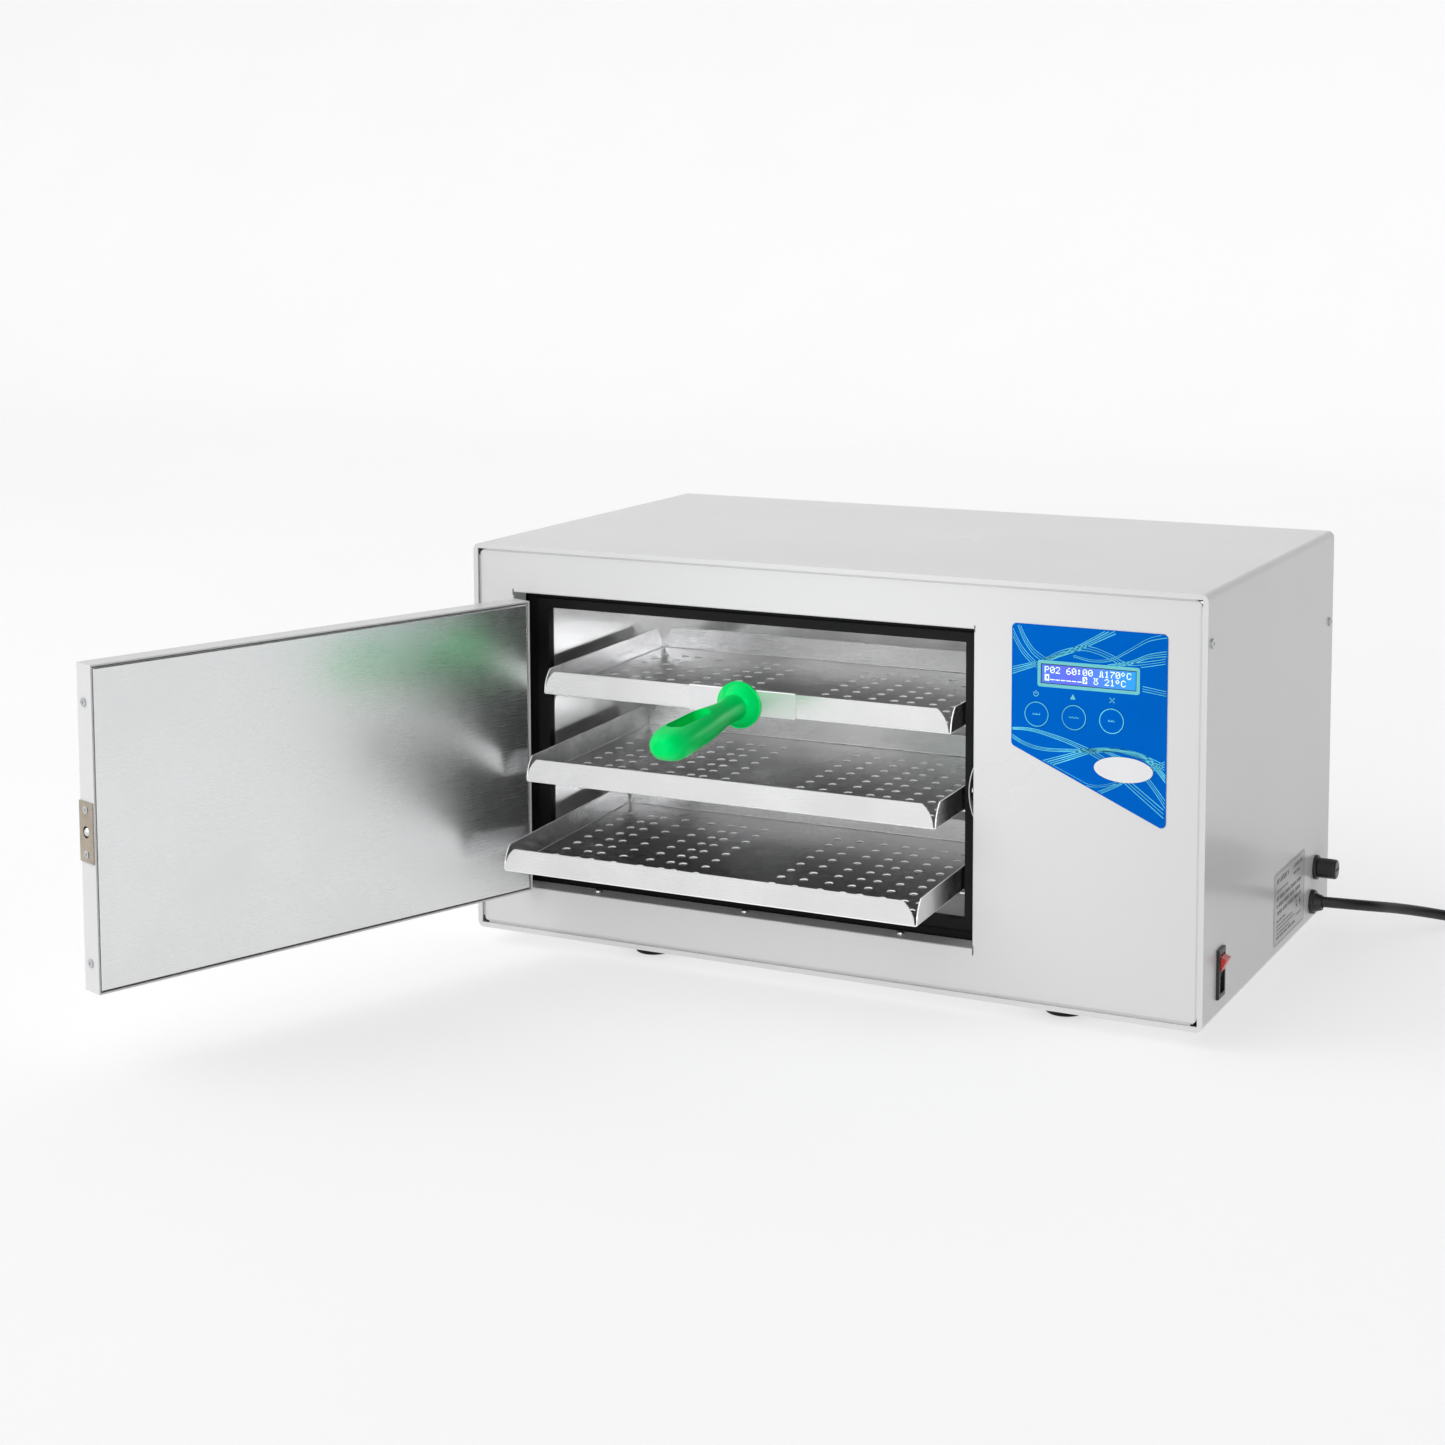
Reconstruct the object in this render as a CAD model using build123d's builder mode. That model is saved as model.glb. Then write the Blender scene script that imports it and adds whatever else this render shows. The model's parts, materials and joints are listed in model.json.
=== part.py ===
from build123d import *
from math import cos, radians, sin
import os

os.makedirs("parts", exist_ok=True)

# A benchtop hot-air steriliser with its door open and three trays pulled part of the way out.
# Millimetres, +Z up, front towards -Y. The sizes below are measured from a point under the cabinet's centre,
# on the surface it stands on. Each piece is written with the origin at the middle of the front left foot's
# underside.

# Cabinet
width = 518.0
depth = 310.0
height = 270.0
foot_height = 11.0
foot_x0 = -139.0
foot_x1 = 159.0
foot_y0 = -119.0
foot_y1 = 119.0
sheet = 1.2
bend_radius = 4.5
lip = 3.4
front = -depth / 2
back = depth / 2
side = width / 2
floor_z = foot_height
roof_z = foot_height + height

# Front panel and its opening
panel_y = front + 1.5
panel_gap = 0.2
flange_depth = 16.0
open_x0 = -228.0
open_x1 = 108.5
open_z0 = 43.5
open_z1 = 248.5
jamb_depth = 16.0

# Door, which turns about a vertical axis just in front of the opening's left edge
hinge_x = -227.4
hinge_y = -157.0
door_angle = 110.0
door_u0 = 1.4
door_u1 = 333.4
door_n0 = 3.5
door_n1 = 20.8
door_z0 = 45.5
door_z1 = 245.5
hinge_zs = (78.0, 213.0)
hinge_length = 36.0
catch_z = 143.5

# Chamber
seal_y = -135.6
seal_depth = 6.0
seal_x0 = -211.2
seal_x1 = 96.3
seal_z0 = 56.0
seal_z1 = 236.5
room_x0 = -213.0
room_x1 = 98.0
room_z0 = 54.0
room_z1 = 238.5
room_y0 = -128.4
room_y1 = 109.0
liner_sheet = 0.8

# Trays
tray_x0 = -202.4
tray_x1 = 95.0
tray_length = 174.0
tray_height = 16.0
tray_sheet = 0.8
tray_notch = 1.4
tray_leans = (1.15, 1.8, 2.7)
tray_floors = (181.0, 125.3, 71.0)
tray_fronts = (-158.3, -182.8, -212.6)

# Tray lifter
grip_x = -52.6
grip_z = 187.3
grip_tilt = 3.0
clip_x0 = -89.7
clip_x1 = -12.3

# Controls
overlay_x0 = 134.0
overlay_x1 = 234.0
overlay_top = 254.8
overlay_left_z = 178.0
overlay_right_z = 133.5
overlay_thickness = 0.4
key_xs = (150.5, 174.8, 199.0)
key_z = 198.5
key_radius = 8.1
lcd_x0 = 153.0
lcd_x1 = 214.5
lcd_z0 = 218.3
lcd_z1 = 230.8
badge_x = 206.9
badge_z = 168.9
rocker_y = -119.0
rocker_z = 39.2
fuse_y = 119.0
fuse_z = 48.0
cord_y = 109.4
cord_z = 25.7

# Mains cord
cord_diameter = 7.5
coil_x = 386.0
coil_y = 243.0
coil_middle = 41.0
coil_band = 22.5
coil_height = 15.0
coil_z0 = 0.8
tie_sheet = 0.8
plug_heading = 30.0


def block(x0, x1, y0, y1, z0, z1, mode=Mode.ADD):
    """A box between two limits on each axis."""
    with Locations(((x0 + x1) / 2, (y0 + y1) / 2, (z0 + z1) / 2)):
        Box(x1 - x0, y1 - y0, z1 - z0, mode=mode)


def disc_x(x0, x1, y, z, radius, mode=Mode.ADD):
    """A cylinder along X between two limits."""
    with Locations(Location(((x0 + x1) / 2, y, z), (0, 90, 0))):
        Cylinder(radius, x1 - x0, mode=mode)


def disc_y(x, y0, y1, z, radius, mode=Mode.ADD):
    """A cylinder along Y between two limits."""
    with Locations(Location((x, (y0 + y1) / 2, z), (90, 0, 0))):
        Cylinder(radius, y1 - y0, mode=mode)


def disc_z(x, y, z0, z1, radius, mode=Mode.ADD):
    """A cylinder along Z between two limits."""
    with Locations((x, y, (z0 + z1) / 2)):
        Cylinder(radius, z1 - z0, mode=mode)


def write(builder, name, lean=0.0, pivot=(0, 0, 0)):
    """Leans a finished piece about a level line, moves it to the file's origin and writes its file."""
    leant = builder.part.rotate(Axis(pivot, (1, 0, 0)), lean)
    placed = leant.moved(Location((-foot_x0, -foot_y0, 0)))
    placed.label = name
    export_step(placed, f"parts/{name}.step")


# Casing: one sheet wrapped round four sides, with a narrow lip turned in at the front and the back
inner_w = width - 2 * sheet
inner_h = height - 2 * sheet
mid_z = foot_height + height / 2
side_screws = ((front + 8.0, 250.2), (back - 10.0, 218.0))
foot_points = ((foot_x0, foot_y0), (foot_x1, foot_y0), (foot_x0, foot_y1), (foot_x1, foot_y1))
with BuildPart() as casing:
    with BuildSketch(Plane.XZ.offset(-back)):
        with Locations((0, mid_z)):
            RectangleRounded(width, height, bend_radius)
            RectangleRounded(inner_w, inner_h, bend_radius - sheet, mode=Mode.SUBTRACT)
    extrude(amount=depth)
    for lip_y in (front, back - sheet):
        with BuildSketch(Plane.XZ.offset(-lip_y - sheet)):
            with Locations((0, mid_z)):
                RectangleRounded(width - 1, height - 1, bend_radius - 0.5)
                Rectangle(width - 2 * lip, height - 2 * lip, mode=Mode.SUBTRACT)
        extrude(amount=sheet)
    for screw_y, screw_z in side_screws:
        disc_x(-side - 1, side + 1, screw_y, screw_z, 1.8, Mode.SUBTRACT)
    for foot_x, foot_y in foot_points:
        disc_z(foot_x, foot_y, floor_z - 1, floor_z + 3, 2.2, Mode.SUBTRACT)
    block(side - 3, side + 1, rocker_y - 6.2, rocker_y + 6.2, rocker_z - 14, rocker_z + 14, Mode.SUBTRACT)
    disc_x(side - 3, side + 1, fuse_y, fuse_z, 6.3, Mode.SUBTRACT)
    disc_x(side - 3, side + 1, cord_y, cord_z, 6.5, Mode.SUBTRACT)
write(casing, "casing")

# Front panel: a shallow pan with folded edges, and a door opening whose edges fold inwards
panel_x = side - lip - panel_gap
panel_z0 = floor_z + lip + panel_gap
panel_z1 = roof_z - lip - panel_gap
with BuildPart() as front_panel:
    block(-panel_x, panel_x, panel_y, panel_y + flange_depth, panel_z0, panel_z1)
    fillet(front_panel.faces().sort_by(Axis.Y)[0].edges(), 2.2)
    block(
        -panel_x + sheet, panel_x - sheet, panel_y + sheet, panel_y + flange_depth + 1,
        panel_z0 + sheet, panel_z1 - sheet, Mode.SUBTRACT,
    )
    block(
        open_x0 - sheet, open_x1 + sheet, panel_y + 0.4, panel_y + jamb_depth,
        open_z0 - sheet, open_z1 + sheet,
    )
    block(open_x0, open_x1, panel_y - 1, panel_y + 30, open_z0, open_z1, Mode.SUBTRACT)
    rim = front_panel.faces().sort_by(Axis.Y)[0].inner_wires()[0].edges()
    fillet(rim, 1.0)
    for corner_x in (open_x0 - 1.0, open_x1 + 0.1):
        block(corner_x, corner_x + 0.9, panel_y - 1, panel_y + 3, open_z0 - 4.4, open_z0 + 2, Mode.SUBTRACT)
        block(corner_x, corner_x + 0.9, panel_y - 1, panel_y + 3, open_z1 - 2, open_z1 + 2.4, Mode.SUBTRACT)
    for corner_x in (-panel_x, panel_x):
        for corner_z in (panel_z0, panel_z1):
            with Locations(Location((corner_x, panel_y + 9, corner_z), (0, 45, 0))):
                Box(5.4, 20, 5.4, mode=Mode.SUBTRACT)
    block(open_x1 - 1, open_x1 + 3, -149.5, -139.5, catch_z - 23, catch_z + 23, Mode.SUBTRACT)
    block(lcd_x0 - 2, lcd_x1 + 2, panel_y - 1, panel_y + 3, lcd_z0 - 2, lcd_z1 + 2, Mode.SUBTRACT)
    for key_x in key_xs:
        disc_y(key_x, panel_y - 1, panel_y + 3, key_z, key_radius + 0.2, Mode.SUBTRACT)
    for rivet_x in (-169.0, -57.4, 55.1):
        for rivet_z in (open_z0 - 0.6, open_z1 + 0.6):
            disc_z(rivet_x, -143.0, rivet_z - 2, rivet_z + 2, 1.6, Mode.SUBTRACT)
    for screw_side in (-1, 1):
        disc_x(
            min(screw_side * (panel_x - 3), screw_side * (panel_x + 1)),
            max(screw_side * (panel_x - 3), screw_side * (panel_x + 1)),
            front + 8.0, 250.2, 1.6, Mode.SUBTRACT,
        )
write(front_panel, "front_panel")

# Nuts that fill the gap between the casing's sides and the front panel's folded edges
with BuildPart() as panel_nuts:
    for nut_side in (-1, 1):
        nut_x0 = min(nut_side * (panel_x + 0.05), nut_side * (side - sheet - 0.05))
        nut_x1 = max(nut_side * (panel_x + 0.05), nut_side * (side - sheet - 0.05))
        block(nut_x0, nut_x1, front + 3.2, front + 12.8, 245.4, 255.0)
        disc_x(nut_x0 - 1, nut_x1 + 1, front + 8.0, 250.2, 1.6, Mode.SUBTRACT)
write(panel_nuts, "panel_nuts")

# Back panel: a pan like the front one, with two banks of vent slots and a stamped border
with BuildPart() as back_panel:
    block(-panel_x, panel_x, back - 16, back - 1.5, panel_z0, panel_z1)
    fillet(back_panel.faces().sort_by(Axis.Y)[-1].edges(), 2.0)
    block(
        -panel_x + sheet, panel_x - sheet, back - 20, back - 1.5 - sheet,
        panel_z0 + sheet, panel_z1 - sheet, Mode.SUBTRACT,
    )
    for vent_x in (-150.0, 185.0):
        for vent_row in range(7):
            with Locations(Location((vent_x, back - 2, 196.0 + vent_row * 9.0), (90, 0, 0))):
                Box(70.0 if vent_x < 0 else 60.0, 3.4, 6, mode=Mode.SUBTRACT)
    for back_x in (-panel_x + 12, panel_x - 12):
        for back_z in (panel_z0 + 12, panel_z1 - 12):
            disc_y(back_x, back - 4, back, back_z, 1.8, Mode.SUBTRACT)
    disc_x(-side, side, side_screws[1][0], side_screws[1][1], 1.6, Mode.SUBTRACT)
write(back_panel, "back_panel")

# Brackets behind the back panel's corners, which its screws go into
with BuildPart() as back_brackets:
    for back_side in (-1, 1):
        for back_z in (panel_z0 + 12, panel_z1 - 12):
            bracket_x = back_side * (panel_x - 12)
            block(bracket_x - 8, bracket_x + 8, back - 4.2, back - 2.7, back_z - 8, back_z + 8)
            disc_y(bracket_x, back - 5, back - 2, back_z, 1.6, Mode.SUBTRACT)
write(back_brackets, "back_brackets")

# Screws: the casing's sides and the back panel
with BuildPart() as casing_screws:
    for screw_side in (-1, 1):
        for screw_y, screw_z in side_screws:
            inner_end = screw_side * (side - 7.0)
            outer_end = screw_side * side
            disc_x(min(inner_end, outer_end), max(inner_end, outer_end), screw_y, screw_z, 1.5)
            head_end = screw_side * (side + 1.4)
            disc_x(min(outer_end, head_end), max(outer_end, head_end), screw_y, screw_z, 3.0)
            with Locations(Location((head_end, screw_y, screw_z), (45, 0, 0))):
                Box(1.4, 3.4, 0.7, mode=Mode.SUBTRACT)
                Box(1.4, 0.7, 3.4, mode=Mode.SUBTRACT)
    for back_x in (-panel_x + 12, panel_x - 12):
        for back_z in (panel_z0 + 12, panel_z1 - 12):
            disc_y(back_x, back - 9, back - 1.5, back_z, 1.5)
            disc_y(back_x, back - 1.5, back - 0.1, back_z, 3.0)
            with Locations((back_x, back - 0.1, back_z)):
                Box(3.4, 1.4, 0.7, mode=Mode.SUBTRACT)
                Box(0.7, 1.4, 3.4, mode=Mode.SUBTRACT)
write(casing_screws, "casing_screws")

# Feet and their screws
with BuildPart() as feet:
    for foot_x, foot_y in foot_points:
        with Locations((foot_x, foot_y, foot_height / 2)):
            Cone(12.5, 14.5, foot_height)
        disc_z(foot_x, foot_y, 3, 12, 2.0, Mode.SUBTRACT)
    fillet(feet.faces().filter_by(Plane.XY).sort_by(Axis.Z)[:4].edges(), 1.5)
write(feet, "feet")

with BuildPart() as foot_screws:
    for foot_x, foot_y in foot_points:
        disc_z(foot_x, foot_y, 3.0, floor_z + sheet, 2.0)
        disc_z(foot_x, foot_y, floor_z + sheet, floor_z + sheet + 2.4, 4.0)
write(foot_screws, "foot_screws")

# Seal: a black silicone frame with a raised bead, on a black steel flange round the chamber's mouth
with BuildPart() as seal:
    block(-232.0, 112.5, seal_y + 1.6, seal_y + seal_depth, 39.5, 252.5)
    block(seal_x0 - 10.0, seal_x1 + 8.0, seal_y, seal_y + 3, seal_z0 - 8.0, seal_z1 + 7.0)
    fillet(seal.faces().sort_by(Axis.Y)[0].edges(), 1.2)
    block(seal_x0, seal_x1, seal_y - 1, seal_y + 8, seal_z0, seal_z1, Mode.SUBTRACT)
write(seal, "seal")

with BuildPart() as mouth_flange:
    block(-232.0, 112.5, seal_y + seal_depth, seal_y + seal_depth + 1.2, 39.5, 252.5)
    block(seal_x0, seal_x1, seal_y, seal_y + 12, seal_z0, seal_z1, Mode.SUBTRACT)
write(mouth_flange, "mouth_flange")

with BuildPart() as jamb_rivets:
    for rivet_x in (-169.0, -57.4, 55.1):
        for rivet_z, inward in ((open_z0, 1), (open_z1, -1)):
            with Locations((rivet_x, -143.0, rivet_z)):
                Sphere(2.8)
            keep_out = rivet_z - inward * 1.5
            block(
                rivet_x - 4, rivet_x + 4, -148, -138,
                min(rivet_z, rivet_z - inward * 4), max(rivet_z, rivet_z - inward * 4), Mode.SUBTRACT,
            )
            block(
                rivet_x - 4, rivet_x + 4, -148, -138,
                min(rivet_z + inward * 1.3, rivet_z + inward * 5),
                max(rivet_z + inward * 1.3, rivet_z + inward * 5), Mode.SUBTRACT,
            )
            disc_z(rivet_x, -143.0, min(rivet_z, keep_out), max(rivet_z, keep_out), 1.5)
write(jamb_rivets, "jamb_rivets")

# Chamber: a stainless box open at the front, with a folded seam and a probe hole at the back
with BuildPart() as chamber:
    block(
        room_x0 - liner_sheet, room_x1 + liner_sheet, room_y0, room_y1 + liner_sheet,
        room_z0 - liner_sheet, room_z1 + liner_sheet,
    )
    block(room_x0, room_x1, room_y0 - 1, room_y1, room_z0, room_z1, Mode.SUBTRACT)
    block(room_x0 - 0.2, room_x0 + 15.0, room_y1 - 0.6, room_y1 + 0.2, room_z0 - 0.2, room_z1 + 0.2)
    disc_y(-178.0, room_y1 - 2, room_y1 + 3, 222.0, 2.5, Mode.SUBTRACT)
write(chamber, "chamber")

# Tray guides: three angle rails on each side wall
def guide(wall_x, inwards, tray_edge):
    """One side's rails. inwards is 1 on the left wall and -1 on the right one."""
    wall_side = wall_x + inwards * 0.05
    web_side = wall_x + inwards * 1.05
    ledge_end = tray_edge + inwards * 6.0
    for tray_floor in tray_floors:
        top = tray_floor - 0.25
        block(min(wall_side, ledge_end), max(wall_side, ledge_end), room_y0 + 3, room_y1 - 3, top - 1, top)
        block(min(wall_side, web_side), max(wall_side, web_side), room_y0 + 3, room_y1 - 3, top - 10, top - 1)


with BuildPart() as guide_left:
    guide(room_x0, 1, tray_x0)
write(guide_left, "guide_left")

with BuildPart() as guide_right:
    guide(room_x1, -1, tray_x1)
write(guide_right, "guide_right")

# Insulation round the chamber, with a pocket above and below it for the heaters
with BuildPart() as insulation:
    block(-229.0, 111.0, -126.0, 134.0, 36.5, 255.5)
    block(
        room_x0 - liner_sheet - 0.2, room_x1 + liner_sheet + 0.2, -130.0, room_y1 + liner_sheet + 0.2,
        room_z0 - liner_sheet - 0.2, room_z1 + liner_sheet + 0.2, Mode.SUBTRACT,
    )
    block(-200.0, 88.0, -118.0, 100.0, 42.5, 60.0, Mode.SUBTRACT)
    block(-200.0, 88.0, -118.0, 100.0, 230.0, 249.5, Mode.SUBTRACT)
    disc_y(-178.0, 100, 140, 222.0, 3.0, Mode.SUBTRACT)
write(insulation, "insulation")


def heater_path(z):
    """The corners of a heater's serpentine at height z."""
    rows = 5
    points = []
    for row in range(rows):
        y = -100.0 + row * 46.0
        ends = (-180.0, 68.0) if row % 2 == 0 else (68.0, -180.0)
        points.append((ends[0], y, z))
        points.append((ends[1], y, z))
    return points


with BuildPart() as heater_lower:
    with BuildLine():
        FilletPolyline(*heater_path(48.0), radius=18)
    with BuildSketch(Plane(origin=(-180.0, -100.0, 48.0), z_dir=(1, 0, 0))):
        Circle(3.2)
    sweep()
write(heater_lower, "heater_lower")

with BuildPart() as heater_upper:
    with BuildLine():
        FilletPolyline(*heater_path(244.3), radius=18)
    with BuildSketch(Plane(origin=(-180.0, -100.0, 244.3), z_dir=(1, 0, 0))):
        Circle(3.2)
    sweep()
write(heater_upper, "heater_upper")

with BuildPart() as temperature_probe:
    disc_y(-178.0, 84.0, 138.0, 222.0, 2.2)
    disc_y(-178.0, 138.0, 144.0, 222.0, 4.0)
    fillet(temperature_probe.faces().sort_by(Axis.Y)[0].edges(), 2.0)
write(temperature_probe, "temperature_probe")

with BuildPart() as probe_bracket:
    block(-187.0, -165.0, room_y1 - 1.0, room_y1 - 0.1, 196.0, room_z1 - 1.5)
    disc_y(-178.0, room_y1 - 3, room_y1 + 1, 222.0, 2.6, Mode.SUBTRACT)
write(probe_bracket, "probe_bracket")

# Wall between the hot side and the electrics, with a row of holes for air
with BuildPart() as divider:
    block(118.0, 119.2, -134.0, 150.0, 18.0, 274.0)
    block(119.2, 129.0, -134.0, 150.0, 18.0, 19.2)
    for hole_y in range(-110, 130, 20):
        disc_x(117, 121, hole_y, 30.0, 4.0, Mode.SUBTRACT)
        disc_x(117, 121, hole_y, 262.0, 4.0, Mode.SUBTRACT)
write(divider, "divider")

# Control electronics
with BuildPart() as control_board:
    block(138.0, 230.0, -143.0, -141.4, 140.0, 252.0)
    block(148.0, 168.0, -141.4, -136.0, 150.0, 164.0)
    block(176.0, 190.0, -141.4, -139.0, 150.0, 164.0)
    block(200.0, 224.0, -141.4, -130.0, 144.0, 152.0)
    for key_x in key_xs:
        block(key_x - 3, key_x + 3, -146.5, -143.0, key_z - 3, key_z + 3)
        disc_y(key_x, -152.6, -146.5, key_z, 1.7)
write(control_board, "control_board")

with BuildPart() as lcd_module:
    block(lcd_x0 - 1.5, lcd_x1 + 1.5, panel_y + 0.3, -143.1, lcd_z0 - 1.5, lcd_z1 + 1.5)
write(lcd_module, "lcd_module")

with BuildPart() as power_board:
    block(124.0, 250.0, -60.0, 70.0, 24.0, 25.6)
    block(132.0, 186.0, -50.0, -4.0, 25.6, 70.0)
    block(196.0, 226.0, -46.0, -18.0, 25.6, 42.0)
    block(196.0, 226.0, -8.0, 20.0, 25.6, 42.0)
    disc_z(146.0, 30.0, 25.6, 56.0, 9.0)
    disc_z(172.0, 30.0, 25.6, 50.0, 7.0)
    block(132.0, 226.0, 48.0, 64.0, 25.6, 40.0)
write(power_board, "power_board")

with BuildPart() as over_temperature_cutout:
    disc_x(119.4, 131.0, -20.0, 150.0, 12.0)
    block(119.4, 120.6, -36.0, -4.0, 142.0, 158.0)
    block(131.0, 140.0, -26.0, -20.0, 148.0, 152.0)
write(over_temperature_cutout, "over_temperature_cutout")

# Overlay: a printed film with a slanting lower edge, a display window and three round keys
with BuildPart() as overlay:
    with BuildSketch(Plane.XZ.offset(-panel_y)):
        with BuildLine():
            FilletPolyline(
                (overlay_x0, overlay_top), (overlay_x1, overlay_top), (overlay_x1, overlay_right_z),
                (overlay_x0, overlay_left_z), radius=3.0, close=True,
            )
        make_face()
        with Locations(((lcd_x0 + lcd_x1) / 2, (lcd_z0 + lcd_z1) / 2)):
            Rectangle(lcd_x1 - lcd_x0, lcd_z1 - lcd_z0, mode=Mode.SUBTRACT)
        with Locations(*[(key_x, key_z) for key_x in key_xs]):
            Circle(key_radius + 0.15, mode=Mode.SUBTRACT)
    extrude(amount=overlay_thickness)
write(overlay, "overlay")

with BuildPart() as lcd_window:
    block(lcd_x0 + 0.1, lcd_x1 - 0.1, panel_y - 0.3, panel_y + 0.25, lcd_z0 + 0.1, lcd_z1 - 0.1)
write(lcd_window, "lcd_window")

for key_name, key_x in zip(("key_left", "key_middle", "key_right"), key_xs):
    with BuildPart() as key:
        disc_y(key_x, panel_y - overlay_thickness - 0.15, panel_y - 0.05, key_z, key_radius)
        fillet(key.faces().sort_by(Axis.Y)[0].edges(), 0.12)
        disc_y(key_x, panel_y - 0.1, panel_y + 0.35, key_z, 2.5)
    write(key, key_name)

with BuildPart() as badge:
    with BuildSketch(Plane.XZ.offset(-panel_y + overlay_thickness)):
        with Locations((badge_x, badge_z)):
            Ellipse(18.8, 7.9)
    extrude(amount=0.5)
    fillet(badge.faces().sort_by(Axis.Y)[0].edges(), 0.2)
write(badge, "badge")

with BuildPart() as data_plate:
    with BuildSketch(Plane.YZ.offset(side)):
        with Locations((48.5, 44.0)):
            RectangleRounded(79, 50, 2.5)
    extrude(amount=0.25)
write(data_plate, "data_plate")

# Rocker switch on the right side
with BuildPart() as switch_housing:
    block(side, side + 2.0, rocker_y - 7.2, rocker_y + 7.2, rocker_z - 15.7, rocker_z + 15.7)
    fillet(switch_housing.faces().sort_by(Axis.X)[-1].edges(), 0.8)
    block(side - 20, side, rocker_y - 6.0, rocker_y + 6.0, rocker_z - 13.7, rocker_z + 13.7)
    block(
        side - 9.5, side + 3, rocker_y - 4.8, rocker_y + 4.8, rocker_z - 12.4, rocker_z + 12.4, Mode.SUBTRACT,
    )
    for blade_z in (-9.0, 0.0, 9.0):
        blade_middle = rocker_z + blade_z
        block(side - 28, side - 20, rocker_y - 0.4, rocker_y + 0.4, blade_middle - 2.4, blade_middle + 2.4)
write(switch_housing, "switch_housing")

# The rocker stands with its upper end out. Its faces meet in a shallow valley over the pivot.
with BuildPart() as rocker:
    with BuildSketch(Plane.XZ.offset(-rocker_y - 4.6)):
        with BuildLine():
            Polyline(
                (side - 6.0, rocker_z - 9.2), (side - 6.5, rocker_z + 6.5), (side + 0.5, rocker_z + 11.6),
                (side + 6.2, rocker_z + 9.6), (side + 1.0, rocker_z - 0.6), (side - 1.4, rocker_z - 11.6),
                (side - 6.0, rocker_z - 9.2),
            )
        make_face()
    extrude(amount=9.2)
    fillet(rocker.edges().filter_by(Axis.Y).sort_by(Axis.X)[-1:], 0.7)
write(rocker, "rocker")

# Fuse holder and its bayonet cap
with BuildPart() as fuse_holder:
    disc_x(side, side + 2.4, fuse_y, fuse_z, 8.6)
    fillet(fuse_holder.faces().sort_by(Axis.X)[-1].edges(), 0.8)
    disc_x(side - 30, side, fuse_y, fuse_z, 6.1)
    disc_x(side - 26, side + 3, fuse_y, fuse_z, 4.9, Mode.SUBTRACT)
write(fuse_holder, "fuse_holder")

with BuildPart() as fuse_cap:
    disc_x(side + 2.7, side + 15.5, fuse_y, fuse_z, 6.9)
    fillet(fuse_cap.faces().sort_by(Axis.X)[-1].edges(), 1.4)
    for rib in range(18):
        rib_angle = radians(rib * 20)
        disc_x(
            side + 2.0, side + 12.5, fuse_y + 7.15 * cos(rib_angle), fuse_z + 7.15 * sin(rib_angle),
            0.55, Mode.SUBTRACT,
        )
    disc_x(side - 2.0, side + 2.7, fuse_y, fuse_z, 4.5)
    block(side + 15.0, side + 16.0, fuse_y - 4.5, fuse_y + 4.5, fuse_z - 0.6, fuse_z + 0.6, Mode.SUBTRACT)
write(fuse_cap, "fuse_cap")

with BuildPart() as fuse:
    disc_x(side - 25.9, side - 2.1, fuse_y, fuse_z, 2.6)
write(fuse, "fuse")

# Cord bushing, with a short tapered nose
with BuildPart() as cord_bushing:
    disc_x(side, side + 3.2, cord_y, cord_z, 8.5)
    fillet(cord_bushing.faces().sort_by(Axis.X)[-1].edges(), 1.2)
    with Locations(Location((side + 5.6, cord_y, cord_z), (0, 90, 0))):
        Cone(6.6, 5.2, 4.8)
    disc_x(side - 6.0, side, cord_y, cord_z, 6.3)
    disc_x(side - 8, side + 10, cord_y, cord_z, cord_diameter / 2, Mode.SUBTRACT)
write(cord_bushing, "cord_bushing")

# Hinges: the frame's halves and pins, and the door's halves
with BuildPart() as hinge_frame_leaves:
    for hinge_z in hinge_zs:
        low = hinge_z - hinge_length / 2
        high = hinge_z + hinge_length / 2
        block(open_x0 + 0.05, open_x0 + 0.95, -153.0, -141.0, low, high)
        for k0, k1 in ((low, hinge_z - 6.2), (hinge_z + 6.2, high)):
            block(open_x0 + 0.05, open_x0 + 0.95, -157.0, -153.0, k0, k1)
            disc_z(hinge_x, hinge_y, k0, k1, 2.4)
            disc_z(hinge_x, hinge_y, k0 - 1, k1 + 1, 1.2, Mode.SUBTRACT)
write(hinge_frame_leaves, "hinge_frame_leaves")

with BuildPart() as hinge_pins:
    for hinge_z in hinge_zs:
        disc_z(hinge_x, hinge_y, hinge_z - hinge_length / 2 - 0.6, hinge_z + hinge_length / 2 + 0.6, 1.2)
        for end in (-1, 1):
            cap_z = hinge_z + end * (hinge_length / 2 + 0.3)
            disc_z(hinge_x, hinge_y, cap_z - 0.3, cap_z + 0.3, 2.0)
write(hinge_pins, "hinge_pins")

# Everything on the door is drawn on its own plane: X along its width from the hinge, Y towards its inner face
swing = radians(door_angle)
door_plane = Plane(
    origin=(hinge_x, hinge_y, 0), x_dir=(cos(swing), -sin(swing), 0), z_dir=(0, 0, 1),
)
with BuildPart(door_plane) as hinge_door_leaves:
    for hinge_z in hinge_zs:
        block(0.5, 1.35, 4.0, 16.0, hinge_z - hinge_length / 2, hinge_z + hinge_length / 2)
        block(0.5, 1.35, 0.0, 4.0, hinge_z - 6.0, hinge_z + 6.0)
        disc_z(0, 0, hinge_z - 6.0, hinge_z + 6.0, 2.4)
        disc_z(0, 0, hinge_z - 7.0, hinge_z + 7.0, 1.25, Mode.SUBTRACT)
write(hinge_door_leaves, "hinge_door_leaves")

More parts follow.
